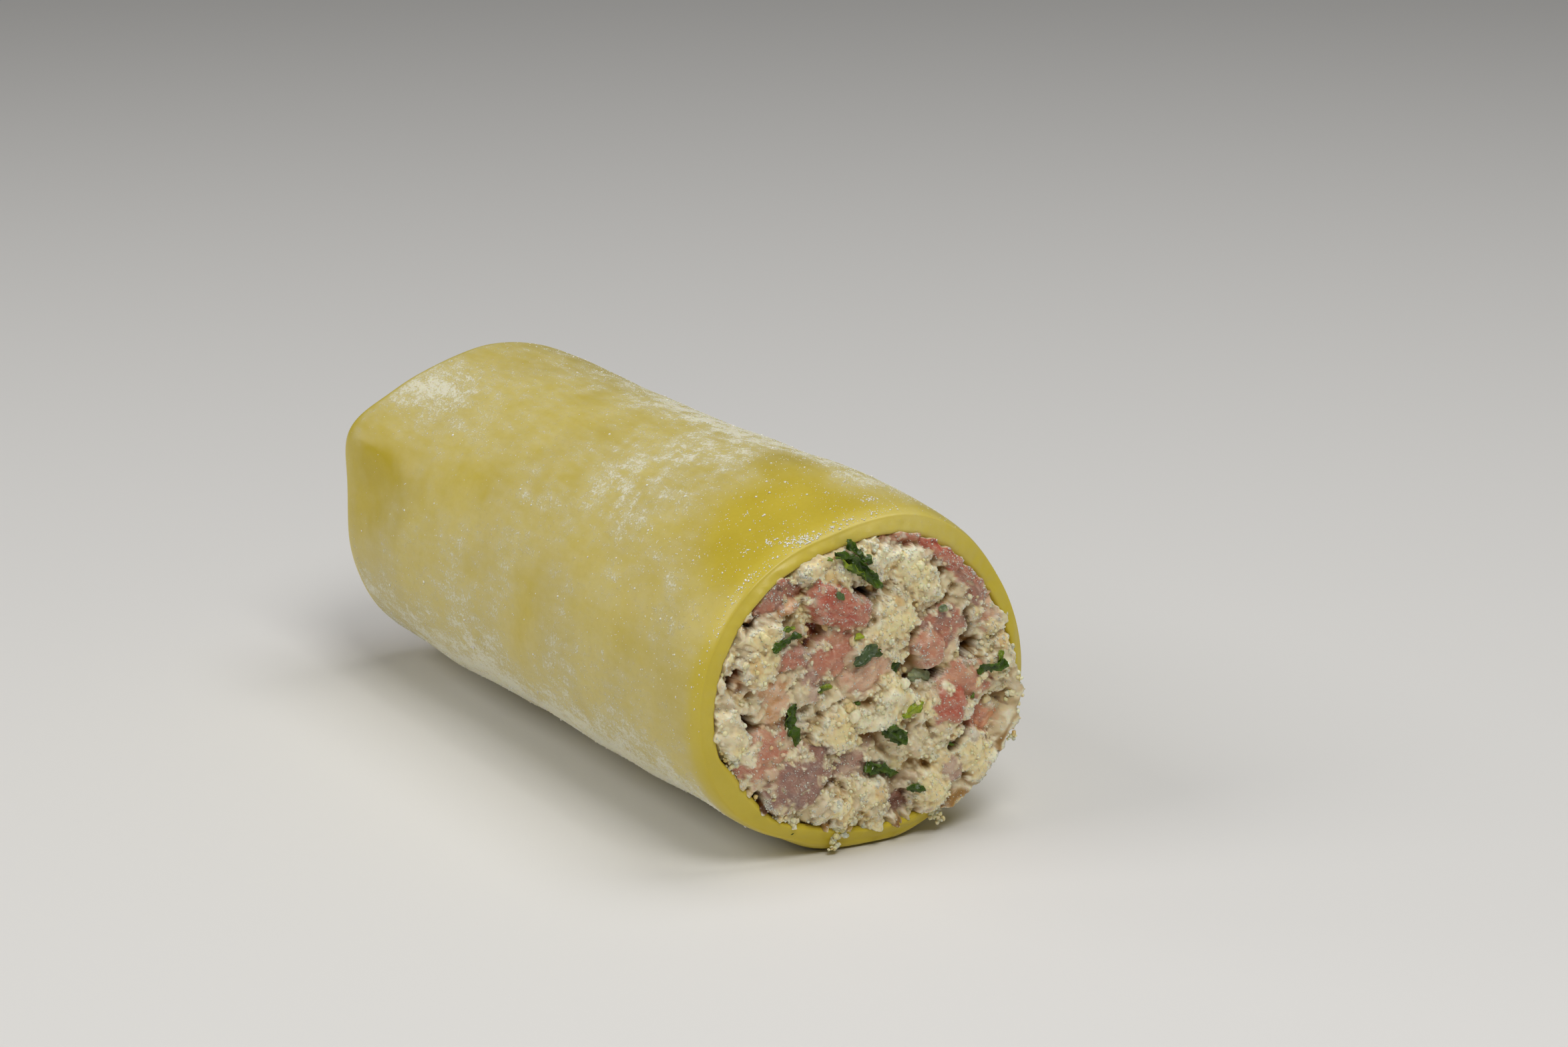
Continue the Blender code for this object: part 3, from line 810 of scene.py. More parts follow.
FRONT_HOLLOWS = [
    # y, z, half sizes, turn, depth
    (-3.92, 9.30, 0.55, 0.55, 0, 1.5),
    (0.10, 21.4, 1.0, 0.6, 60, 1.6),
    (1.10, 19.2, 0.5, 0.9, 0, 1.3),
    (-12.2, 16.9, 0.5, 1.2, 0, 1.3),
    (-11.2, 12.8, 1.2, 0.55, -40, 1.5),
    (-5.10, 20.1, 0.9, 0.55, -50, 1.1),
    (3.70, 13.6, 1.1, 0.5, 30, 0.9),
    (-3.30, 12.9, 1.3, 0.45, 15, 0.9),
    (5.10, 8.80, 0.6, 1.2, 20, 0.8),
    (9.80, 15.2, 1.2, 0.5, 40, 0.9),
    (-8.30, 12.4, 1.3, 0.5, 10, 0.9),
    (-1.80, 22.9, 0.8, 0.5, 10, 0.9),
    (3.70, 18.3, 0.5, 1.1, -20, 0.9),
    (1.20, 6.10, 0.5, 1.2, 0, 0.8),
    (-12.6, 9.00, 0.5, 1.4, 30, 1.0),
    (6.00, 20.0, 0.9, 0.4, 30, 0.8),
    (8.70, 8.00, 0.9, 0.5, 60, 0.8),
    (-1.10, 22.3, 0.9, 0.8, 20, 1.2),
    (-12.4, 17.3, 0.6, 1.0, 0, 1.0),
    (3.20, 3.60, 1.2, 0.7, 10, 0.9),
    (-2.60, 19.0, 0.5, 1.2, 25, 0.8),
    (9.60, 17.6, 0.5, 1.3, 15, 0.8),
    (-9.60, 5.60, 1.5, 0.5, -45, 0.9),
    (-3.20, 6.20, 0.5, 1.4, 10, 0.9),
    (6.70, 14.2, 1.2, 0.5, 10, 0.8),
    (-10.6, 21.3, 1.2, 0.5, 50, 0.8),
    (2.60, 23.6, 0.4, 1.2, -30, 0.7),
]
FRONT_CRUMBS = [
    # y, z, spread across and up
    (-10.3, 17.0, 1.5, 2.0), (4.60, 22.2, 2.6, 2.6), (2.50, 19.4, 1.6, 2.1), (-2.30, 11.2, 2.2, 1.6),
    (0.50, 4.60, 1.2, 1.8), (-2.40, 4.60, 1.3, 1.4), (12.3, 15.2, 1.4, 3.0), (6.00, 5.20, 1.4, 2.6),
    (-4.60, 24.3, 2.6, 1.4), (1.20, 24.6, 1.6, 1.4), (-12.0, 11.2, 1.1, 1.8), (-5.10, 22.1, 1.6, 0.9),
    (8.60, 9.60, 1.5, 1.6), (5.60, 11.6, 1.4, 1.2), (10.4, 6.40, 1.6, 1.4), (2.40, 12.4, 1.4, 0.9),
]


def front_mouth():
    mouth = Mouth(1, 20)
    for hollow in FRONT_HOLLOWS:
        mouth.hollow(*hollow)
    for y, z, a, b, turn, lift, tint, other, bend, coat, tilt in FRONT_HAM:
        mouth.chunk(y, z, a, b, turn, lift, tint, other, bend, coat, tilt)
    mouth.crumble(FRONT_CRUMBS)
    mouth.settle(lip_overhang)
    return mouth


def back_mouth():
    """The other cut, with the same stuff strewn in another order."""
    mouth = Mouth(-1, 83)
    rng = np.random.default_rng(83)
    spots = []
    tries = 0
    while len(spots) < 26 and tries < 4000:
        tries += 1
        r, t = 12.2 * math.sqrt(rng.random()), rng.random() * TAU
        y, z = r * math.cos(t), CENTRE_Z + 0.94 * r * math.sin(t)
        if all(math.hypot(y - p[0], z - p[1]) > 3.4 for p in spots):
            spots.append((y, z))
    for k in range(17):
        r, t = 12.0 * math.sqrt(rng.random()), rng.random() * TAU
        mouth.hollow(r * math.cos(t), CENTRE_Z + 0.94 * r * math.sin(t), 0.5 + 0.6 * rng.random(), 0.5 + 0.3 * rng.random(), 180 * rng.random(), 0.8 + 0.7 * rng.random())
    pairs = [(MAUVE, PLUM), (PINK, FAT), (SMOKE, MAUVE), (RED, ROSE), (ROSE, PINK), (SALMON, ROSE), (FAT, PINK), (MAUVE, ROSE), (AMBER, FAT)]
    for k, (y, z) in enumerate(spots):
        tint, other = pairs[(k * 5 + int(rng.integers(3))) % len(pairs)]
        a = 0.9 + 1.7 * rng.random()
        mouth.chunk(y, z, a, a * (0.5 + 0.4 * rng.random()), 180 * rng.random(), 0.25 + 0.7 * rng.random(), tint, other, 0.4 * (rng.random() - 0.5), 0.3 + 0.3 * rng.random(), 0.3 * (rng.random() - 0.5))
    clusters = [(9.5 * (rng.random() * 2 - 1), CENTRE_Z + 9.0 * (rng.random() * 2 - 1), 1.8, 1.8) for _ in range(14)]
    mouth.crumble(clusters)
    mouth.settle()
    return mouth


def filling_material():
    k = Kit("filling_crumb_and_ham")
    tint = k.attribute("tint", "Color")
    wet, meat = k.attribute("wet"), k.attribute("meat")
    n_fine = k.noise(0.11, 2.0, 0.6)
    n_mid = k.noise(0.38, 3.0, 0.6)
    fibres = k.noise(0.30, 2.0, 0.6, vector=k.stretched(scale=(1, 1.0, 2.6), turn=(0.5, 0, 0)), distortion=0.6)
    colour = k.mix(k.ramp(n_mid, 0.30, 0.70, 0.0, 0.22), tint, k.mix(1.0, tint, (1.16, 1.10, 0.92), "MULTIPLY"))
    colour = k.mix(k.ramp(n_fine, 0.55, 0.80, 0.0, 0.14), colour, k.mix(1.0, colour, (0.80, 0.70, 0.52), "MULTIPLY"))
    # white threads of fat in the meat
    threads = k.math("MULTIPLY", k.ramp(fibres, 0.60, 0.72, 0.0, 0.42), meat)
    colour = k.mix(threads, colour, (0.78, 0.66, 0.55))
    roughness = k.math("SUBTRACT", k.ramp(n_fine, 0.3, 0.7, 0.42, 0.66), k.math("MULTIPLY", wet, 0.16))
    height = k.math("ADD", k.math("MULTIPLY", n_fine, 0.40), k.math("MULTIPLY", n_mid, 0.9))
    height = k.math("ADD", height, k.math("MULTIPLY", k.math("MULTIPLY", fibres, meat), 0.9))
    normal = k.bump(height, 0.065, 0.9)
    return k.set(
        Base_Color=colour,
        Roughness=roughness,
        Normal=normal,
        Subsurface_Weight=0.50,
        Subsurface_Radius=(1.0, 0.52, 0.30),
        Subsurface_Scale=0.00066,
        IOR=1.42,
        Coat_Weight=0.24,
        Coat_Roughness=0.16,
    )


SIDE = 208


def edge_reach(end):
    """How far the filling's ragged edge passes over the lip, round the cut."""

    def reach(a):
        c, s = np.cos(a), np.sin(a)
        ragged = 0.52 * noise1(6 * c, 6 * s, 3.0 * end, 87) + 0.42 * noise1(15 * c, 15 * s, 3.0 * end, 88) + 0.16 * noise1(38 * c, 38 * s, 3.0 * end, 86) + 0.04
        if end > 0:
            ragged = ragged + lip_overhang(a) * (0.95 + 0.40 * noise1(7 * c, 7 * s, 1.0, 89))
        return ragged

    return reach


def cap_points(mouth, stretch):
    """A square grid pressed into the cut's outline, so that its cells stay even."""
    u = np.linspace(-1, 1, SIDE + 1)
    U, V = np.meshgrid(u, u)
    X = U * np.sqrt(1 - V * V / 2)
    Z = V * np.sqrt(1 - U * U / 2)
    a, rho = np.arctan2(Z, X), np.hypot(X, Z)
    edge = mouth.rim_radius(a) + stretch(a) * smooth(rho, 0.72, 1.0)
    y, z = rho * edge * np.cos(a), CENTRE_Z + rho * edge * np.sin(a)
    return y, z, a, rho


def border(n):
    """Indices of a square grid's border, once round."""
    side = n + 1
    south = [j for j in range(n)]
    east = [r * side + n for r in range(n)]
    north = [n * side + j for j in range(n, 0, -1)]
    west = [r * side for r in range(n, 0, -1)]
    return np.array(south + east + north + west)


def make_filling(mouths, material):
    verts, faces, tints, wets, meats = [], [], [], [], []
    count = 0
    loops = {}
    for mouth in mouths:
        end = mouth.end
        reach = edge_reach(end)
        y, z, a, rho = cap_points(mouth, reach)
        h = mouth.at(mouth.h, y, z)
        out = smooth(reach(a), 0.02, 0.30) * smooth(rho, 0.90, 0.97)
        lip_top = 0.62 + 0.22 * noise1(y / 0.6, z / 0.6, 4.0, 90)
        h = np.maximum(h, out * lip_top + (1 - out) * (h - 0.01))
        # crumbly sideways shifts, which change with height, so that steep places break up and overhang
        fade = 1 - smooth(rho, 0.93, 1.0)
        y2 = y + (0.11 * noise1(y / 0.6, z / 0.6, h / 0.40, 91) + 0.05 * noise1(y / 0.28, z / 0.28, h / 0.2, 93)) * fade
        z2 = z + (0.11 * noise1(y / 0.6, z / 0.6, h / 0.40 + 9, 92) + 0.05 * noise1(y / 0.28, z / 0.28, h / 0.2 + 9, 94)) * fade
        h = h + 0.045 * noise1(y / 0.32, z / 0.32, h / 0.25, 95) * fade
        # the flat underneath
        z2 = np.maximum(z2, WALL * 0.9 * smooth(rho, 0.9, 1.0))
        x = end * (HALF - 0.10 + h)
        points = np.stack([x, y2, z2], -1).reshape(-1, 3)
        mouth.cap = np.concatenate([points, y.reshape(-1, 1), z.reshape(-1, 1)], 1)
        quads = grid_faces(SIDE + 1, SIDE + 1)
        quads = quads if end < 0 else quads[:, ::-1]
        verts.append(points)
        faces.append(quads + count)
        tints.append(mouth.at(mouth.tint, y, z).reshape(-1, 3))
        wets.append(mouth.at(mouth.wet, y, z).ravel())
        meats.append(mouth.at(mouth.meat, y, z).ravel())
        ring = border(SIDE)
        loops[end] = (ring + count, a.reshape(-1)[ring], points[ring], tints[-1][ring])
        count += len(points)
    # the sides: from each cap's border back under the sheet and through the tube
    n = len(border(SIDE))
    chain = [loops[1][0]]
    for end, a, points in ((1, loops[1][1], loops[1][2]), (-1, loops[-1][1], loops[-1][2])):
        rings = []
        for depth, share in ((0.30, 0.0), (0.9, 0.6), (2.0, 1.0), (8.0, 1.0), (22.0, 1.0)):
            x = end * (HALF - depth)
            r_in = tube_radius(a, np.full_like(a, x)) - wall(a, end) - 0.12
            own = np.hypot(points[:, 1], points[:, 2] - CENTRE_Z)
            if depth <= 0.3:
                r = np.minimum(own, r_in + (own - r_in) * 0.9)
                ring = around(np.minimum(points[:, 0] * end - 0.10, HALF + 0.45) * end, a, r, floor=WALL * 0.9)
            else:
                ring = around(np.full_like(a, x), a, np.minimum(own * (1 - share) + r_in * share, r_in + 0.4), floor=WALL)
            rings.append(ring)
        indices = []
        for ring in rings:
            verts.append(ring)
            tints.append(np.tile(np.array(GREIGE), (n, 1)))
            wets.append(np.full(n, 0.3))
            meats.append(np.zeros(n))
            indices.append(np.arange(n) + count)
            count += n
        chain += indices if end > 0 else indices[::-1]
    chain.append(loops[-1][0])
    for one, two in zip(chain, chain[1:]):
        k = np.arange(n)
        m = (k + 1) % n
        faces.append(np.stack([one[k], one[m], two[m], two[k]], -1))
    piece = make_mesh(
        "filling_mass",
        np.concatenate(verts),
        faces,
        material,
        colour=np.clip(np.concatenate(tints), 0, 1),
        values={"wet": np.concatenate(wets), "meat": np.concatenate(meats)},
    )
    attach(piece, "root")
    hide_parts("filling")
    return piece


FRONT, BACK = front_mouth(), back_mouth()
FILLING = filling_material()
filling = make_filling([FRONT, BACK], FILLING)


# ---------------------------------------------------------------------------- loose crumbs
def ball(levels):
    """Unit icosphere: points and triangles."""
    g = (1 + 5**0.5) / 2
    v = [(-1, g, 0), (1, g, 0), (-1, -g, 0), (1, -g, 0), (0, -1, g), (0, 1, g), (0, -1, -g), (0, 1, -g), (g, 0, -1), (g, 0, 1), (-g, 0, -1), (-g, 0, 1)]
    f = [(0, 11, 5), (0, 5, 1), (0, 1, 7), (0, 7, 10), (0, 10, 11), (1, 5, 9), (5, 11, 4), (11, 10, 2), (10, 7, 6), (7, 1, 8)]
    f += [(3, 9, 4), (3, 4, 2), (3, 2, 6), (3, 6, 8), (3, 8, 9), (4, 9, 5), (2, 4, 11), (6, 2, 10), (8, 6, 7), (9, 8, 1)]
    v = [np.array(p) / np.linalg.norm(p) for p in v]
    for _ in range(levels):
        made, halves = [], {}

        def middle(i, j):
            key = (min(i, j), max(i, j))
            if key not in halves:
                p = v[i] + v[j]
                v.append(p / np.linalg.norm(p))
                halves[key] = len(v) - 1
            return halves[key]

        for a, b, c in f:
            ab, bc, ca = middle(a, b), middle(b, c), middle(c, a)
            made += [(a, ab, ca), (b, bc, ab), (c, ca, bc), (ab, bc, ca)]
        f = made
    return np.array(v), np.array(f)


def turns(rng, n):
    """n random rotations."""
    q = rng.normal(size=(n, 4))
    q /= np.linalg.norm(q, axis=1, keepdims=True)
    w, x, y, z = q.T
    return np.stack(
        [
            np.stack([1 - 2 * (y * y + z * z), 2 * (x * y - z * w), 2 * (x * z + y * w)], -1),
            np.stack([2 * (x * y + z * w), 1 - 2 * (x * x + z * z), 2 * (y * z - x * w)], -1),
            np.stack([2 * (x * z - y * w), 2 * (y * z + x * w), 1 - 2 * (x * x + y * y)], -1),
        ],
        1,
    )


def grain_shapes(rng, levels, kinds=14, rough=0.30):
    """Lumpy, angular grains of unit size."""
    v, f = ball(levels)
    made = []
    for k in range(kinds):
        s = 40.0 * k
        r = 1 + rough * noise1(v[:, 0] * 1.3 + s, v[:, 1] * 1.3, v[:, 2] * 1.3, 130) + 0.7 * rough * noise1(v[:, 0] * 3.1, v[:, 1] * 3.1 + s, v[:, 2] * 3.1, 131)
        made.append(v * r[:, None] * rng.uniform(0.65, 1.15, 3))
    return np.array(made), f


def scatter(shapes, f, rng, places, sizes, squash=None):
    """Copies of the grain shapes at the places: points, triangles and each point's owner."""
    n = len(places)
    pick = rng.integers(len(shapes), size=n)
    pts = shapes[pick] * sizes[:, None, None]
    pts = np.einsum("nij,nkj->nki", turns(rng, n), pts)
    if squash is not None:
        along = np.einsum("nki,ni->nk", pts, squash)
        pts = pts - 0.45 * along[..., None] * squash[:, None, :]
    pts = pts + places[:, None, :]
    m = shapes.shape[1]
    faces = (f[None] + (np.arange(n) * m)[:, None, None]).reshape(-1, 3)
    return pts.reshape(-1, 3), faces, np.repeat(np.arange(n), m)


def surface_x(mouth, y, z):
    return mouth.end * (HALF - 0.10 + mouth.at(mouth.h, y, z))


CRUMB_TINTS = np.array([CRUMB, CREAM, PALE, CRUST])


def inside(mouth, y, z, spare=0.15):
    return math.hypot(y, z - CENTRE_Z) < float(mouth.rim_radius(np.array(math.atan2(z - CENTRE_Z, y)))) - spare


def fine_crumbs(mouth, rng, count, along_lip):
    """Grains that stand on the clumps, and a ragged edge of them along the lip."""
    places, sizes, colours = [], [], []
    tries = 0
    while len(places) < count and tries < 40 * count:
        tries += 1
        y, z = mouth.spot()
        here = (np.array(y), np.array(z))
        crumb, meat = float(mouth.at(mouth.crumb, *here)), float(mouth.at(mouth.meat, *here))
        stands = float(mouth.at(mouth.crest, *here))
        if rng.random() > (0.10 + 0.9 * crumb) * (0.25 + 0.75 * stands) or rng.random() < 0.80 * meat or not inside(mouth, y, z):
            continue
        r = 0.065 + 0.15 * rng.random() ** 2.2
        places.append((float(surface_x(mouth, *here)) + mouth.end * r * 0.30, y, z))
        sizes.append(r)
        colours.append((0.55 * mouth.at(mouth.tint, *here) + 0.45 * CRUMB_TINTS[rng.choice(4, p=(0.35, 0.2, 0.37, 0.08))]) * (0.95 + 0.13 * rng.random()))
    reach = edge_reach(mouth.end)
    for _ in range(along_lip):
        a = rng.random() * TAU
        over = float(lip_overhang(np.array(a))) if mouth.end > 0 else 0.0
        if rng.random() > 0.40 + 0.60 * over:
            continue
        edge = float(mouth.rim_radius(np.array(a)) + reach(np.array(a)))
        r = 0.08 + 0.17 * rng.random() ** 1.8
        out = edge + rng.normal() * 0.17 + (0.10 if over else -0.12)
        y, z = out * math.cos(a), CENTRE_Z + out * math.sin(a)
        if z < r + 0.15:
            continue
        lip = HALF + float(cut_wave(np.array(a), mouth.end))
        places.append((mouth.end * (lip + 0.05 + 0.45 * r + (0.70 * rng.random() if over else 0.10 * rng.random())), y, z))
        sizes.append(r)
        colours.append(CRUMB_TINTS[rng.choice(4, p=(0.4, 0.25, 0.25, 0.1))] * (0.9 + 0.1 * rng.random()))
    return places, sizes, colours


# strings of crumb that hang over the front lip: angle, radius they start at, how many
HANGING = [(-61, 14.4, 4), (-27, 15.0, 5), (-102, 12.5, 6), (-99, 12.6, 4), (-43, 14.5, 3), (-14, 14.4, 3), (-122, 12.8, 2), (-160, 13.4, 2)]


def coarse_crumbs(mouth, rng, count):
    places, sizes, colours = [], [], []
    for _ in range(count):
        y, z = mouth.spot()
        here = (np.array(y), np.array(z))
        if float(mouth.at(mouth.meat, *here)) > 0.4 or not inside(mouth, y, z, 1.2):
            continue
        r = 0.24 + 0.24 * rng.random()
        places.append((float(surface_x(mouth, *here)) + mouth.end * 0.05 * r, y, z))
        sizes.append(r)
        colours.append(0.5 * mouth.at(mouth.tint, *here) + 0.5 * CRUMB_TINTS[rng.choice(4, p=(0.45, 0.2, 0.25, 0.1))])
    for a, start, links in HANGING if mouth.end > 0 else []:
        for _ in range(4 * links):
            down = rng.random() ** 1.2
            t, out = math.radians(a + rng.normal() * (1.7 - 0.9 * down)), start - 0.25 + 0.34 * links * down
            r = (0.34 - 0.15 * down) * (0.55 + 0.55 * rng.random())
            lip = HALF + float(cut_wave(np.array(t), 1))
            places.append((lip + 0.12 + 0.42 * rng.random(), out * math.cos(t), max(r + 0.05, CENTRE_Z + out * math.sin(t))))
            sizes.append(r)
            colours.append(CRUMB_TINTS[rng.choice(4, p=(0.4, 0.25, 0.25, 0.1))])
    return places, sizes, colours


def make_crumbs(name, levels, rough, made, material):
    points, faces, tints, count = [], [], [], 0
    for seed, (places, sizes, colours) in made:
        rng = np.random.default_rng(seed)
        shapes, f = grain_shapes(rng, levels, rough=rough)
        p, f, who = scatter(shapes, f, rng, np.array(places), np.array(sizes))
        points.append(p)
        faces.append(f + count)
        tints.append(np.array(colours)[who])
        count += len(p)
    piece = make_mesh(
        name, np.concatenate(points), [np.concatenate(faces)], material,
        colour=np.clip(np.concatenate(tints), 0, 1), values={"wet": np.full(count, 0.4), "meat": np.zeros(count)},
    )
    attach(piece, "root")
    return piece


RNG = np.random.default_rng(320)
crumbs_fine = make_crumbs(
    "crumbs_fine", 1, 0.30,
    [(401, fine_crumbs(FRONT, RNG, 1250, 330)), (402, fine_crumbs(BACK, RNG, 760, 150))], FILLING,
)
crumbs_coarse = make_crumbs(
    "crumbs_coarse", 2, 0.36,
    [(403, coarse_crumbs(FRONT, RNG, 60)), (404, coarse_crumbs(BACK, RNG, 60))], FILLING,
)


def make_dust(mouths, material):
    """The finest crumb: single pale grains frosted over the clumps and the ham."""
    rng = np.random.default_rng(77)
    octa = np.array([(1, 0, 0), (-1, 0, 0), (0, 1, 0), (0, -1, 0), (0, 0, 1), (0, 0, -1)], float)
    f = np.array([(0, 2, 4), (2, 1, 4), (1, 3, 4), (3, 0, 4), (2, 0, 5), (1, 2, 5), (3, 1, 5), (0, 3, 5)])
    shapes = np.array([octa * rng.uniform(0.65, 1.3, (6, 1)) for _ in range(24)])
    places, sizes, colours = [], [], []
    for mouth, count in zip(mouths, (10500, 4000)):
        n = 7 * count
        row, column, u, v = rng.integers(SIDE, size=n), rng.integers(SIDE, size=n), rng.random((n, 1)), rng.random((n, 1))
        k = row * (SIDE + 1) + column
        cap = mouth.cap
        at = (cap[k] * (1 - u) + cap[k + 1] * u) * (1 - v) + (cap[k + SIDE + 1] * (1 - u) + cap[k + SIDE + 2] * u) * v
        y, z = at[:, 3], at[:, 4]
        crest, meat, crumb = mouth.at(mouth.crest, y, z), mouth.at(mouth.meat, y, z), mouth.at(mouth.crumb, y, z)
        patchy = fbm(y / 0.9, z / 0.9, 3.0, 230, 2)
        odds = (0.10 + 0.60 * crest) * (0.35 + 0.35 * crumb + 0.50 * meat) * np.clip(0.55 + 1.5 * patchy, 0.08, 1.6)
        keep = np.flatnonzero(rng.random(n) < odds)[:count]
        size = 0.036 + 0.075 * rng.random(len(keep)) ** 2.0
        place = at[keep, :3].copy()
        place[:, 0] += mouth.end * 0.25 * size
        places.append(place)
        sizes.append(size)
        colours.append(0.30 * mouth.at(mouth.tint, y[keep], z[keep]) + 0.70 * np.array((0.96, 0.90, 0.74)))
    p, faces, who = scatter(shapes, f, rng, np.concatenate(places), np.concatenate(sizes))
    piece = make_mesh(
        "crumbs_dust", p, [faces], material,
        colour=np.clip(np.concatenate(colours)[who], 0, 1), values={"wet": np.full(len(p), 1.0), "meat": np.zeros(len(p))},
    )
    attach(piece, "root")
    return piece


crumbs_dust = make_dust([FRONT, BACK], FILLING)


# ---------------------------------------------------------------------------- parsley
LEAF_DARK = (0.024, 0.052, 0.002)
LEAF = (0.080, 0.150, 0.006)
LEAF_BRIGHT = (0.34, 0.42, 0.025)
LEAF_PALE = (0.36, 0.39, 0.21)
LEAF_TEAL = (0.10, 0.145, 0.070)

FRONT_LEAVES = [
    # y, z, length, width, turn, roll, pitch, lift, tint, edge tint
    (-0.95, 24.45, 5.6, 1.55, -40, 34, 6, 0.75, LEAF_DARK, LEAF),
    (-0.75, 25.75, 3.2, 1.05, -44, -24, 10, 0.45, LEAF_DARK, LEAF),
    (-1.75, 24.75, 3.6, 0.40, -40, 60, 6, 0.95, LEAF, LEAF_BRIGHT),
    (-7.70, 19.35, 3.1, 1.2, 17, 25, -8, 0.55, LEAF_DARK, LEAF),
    (-7.50, 20.35, 1.5, 0.55, 12, 60, 0, 0.60, LEAF, LEAF_BRIGHT),
    (-0.92, 18.65, 0.95, 0.80, 4, 10, 0, 0.40, LEAF_BRIGHT, LEAF_BRIGHT),
    (-0.45, 17.20, 2.6, 1.3, 38, -25, 8, 0.35, LEAF_TEAL, LEAF_DARK),
    (0.90, 17.05, 1.2, 0.7, -20, 20, 0, 0.30, LEAF_DARK, LEAF),
    (-4.05, 14.90, 1.4, 1.0, 10, 20, 0, 0.35, LEAF_DARK, LEAF_BRIGHT),
    (2.90, 15.50, 1.6, 1.1, 45, -15, 5, 0.30, LEAF_DARK, LEAF),
    (12.0, 13.95, 2.9, 1.6, 8, 35, 12, 0.55, LEAF_DARK, LEAF),
    (12.9, 14.70, 1.2, 0.7, 70, 20, 0, 0.60, LEAF, LEAF_BRIGHT),
    (5.45, 14.10, 2.4, 1.4, -12, 15, 0, 0.25, LEAF_PALE, LEAF_TEAL),
    (4.00, 11.90, 2.3, 0.95, 28, -30, 5, 0.45, LEAF_BRIGHT, LEAF),
    (-6.75, 12.60, 2.6, 1.5, 78, 22, -6, 0.50, LEAF_DARK, LEAF),
    (-6.60, 11.10, 2.0, 1.3, 100, -18, 8, 0.45, LEAF, LEAF_DARK),
    (2.35, 10.00, 2.8, 1.8, -42, 28, 10, 0.50, LEAF_DARK, LEAF),
    (1.20, 6.95, 2.6, 1.5, -12, 25, 5, 0.50, LEAF_DARK, LEAF),
    (2.90, 6.35, 1.9, 1.2, -25, -20, -5, 0.50, LEAF, LEAF_DARK),
    (4.70, 4.75, 1.9, 0.95, -12, 15, 8, 0.45, LEAF_DARK, LEAF),
    (10.3, 11.80, 0.6, 0.35, 30, 0, 0, 0.25, LEAF, LEAF),
    (8.45, 7.80, 0.6, 0.35, -30, 0, 0, 0.25, LEAF, LEAF),
    (-0.85, 13.05, 0.5, 0.35, 0, 0, 0, 0.30, LEAF_DARK, LEAF),
    (7.40, 19.70, 0.9, 0.6, 20, 0, 0, 0.25, LEAF_TEAL, LEAF_PALE),
    (-3.10, 22.70, 0.9, 0.6, -40, 0, 0, 0.25, LEAF_TEAL, LEAF),
    (-12.9, 8.90, 0.8, 0.5, 60, 0, 0, 0.10, LEAF_DARK, LEAF),
    (-6.10, 2.60, 0.8, 0.35, 15, 0, 0, 0.25, LEAF_DARK, LEAF),
    (-3.60, 25.60, 0.5, 0.3, 0, 0, 0, 0.25, LEAF, LEAF_BRIGHT),
]


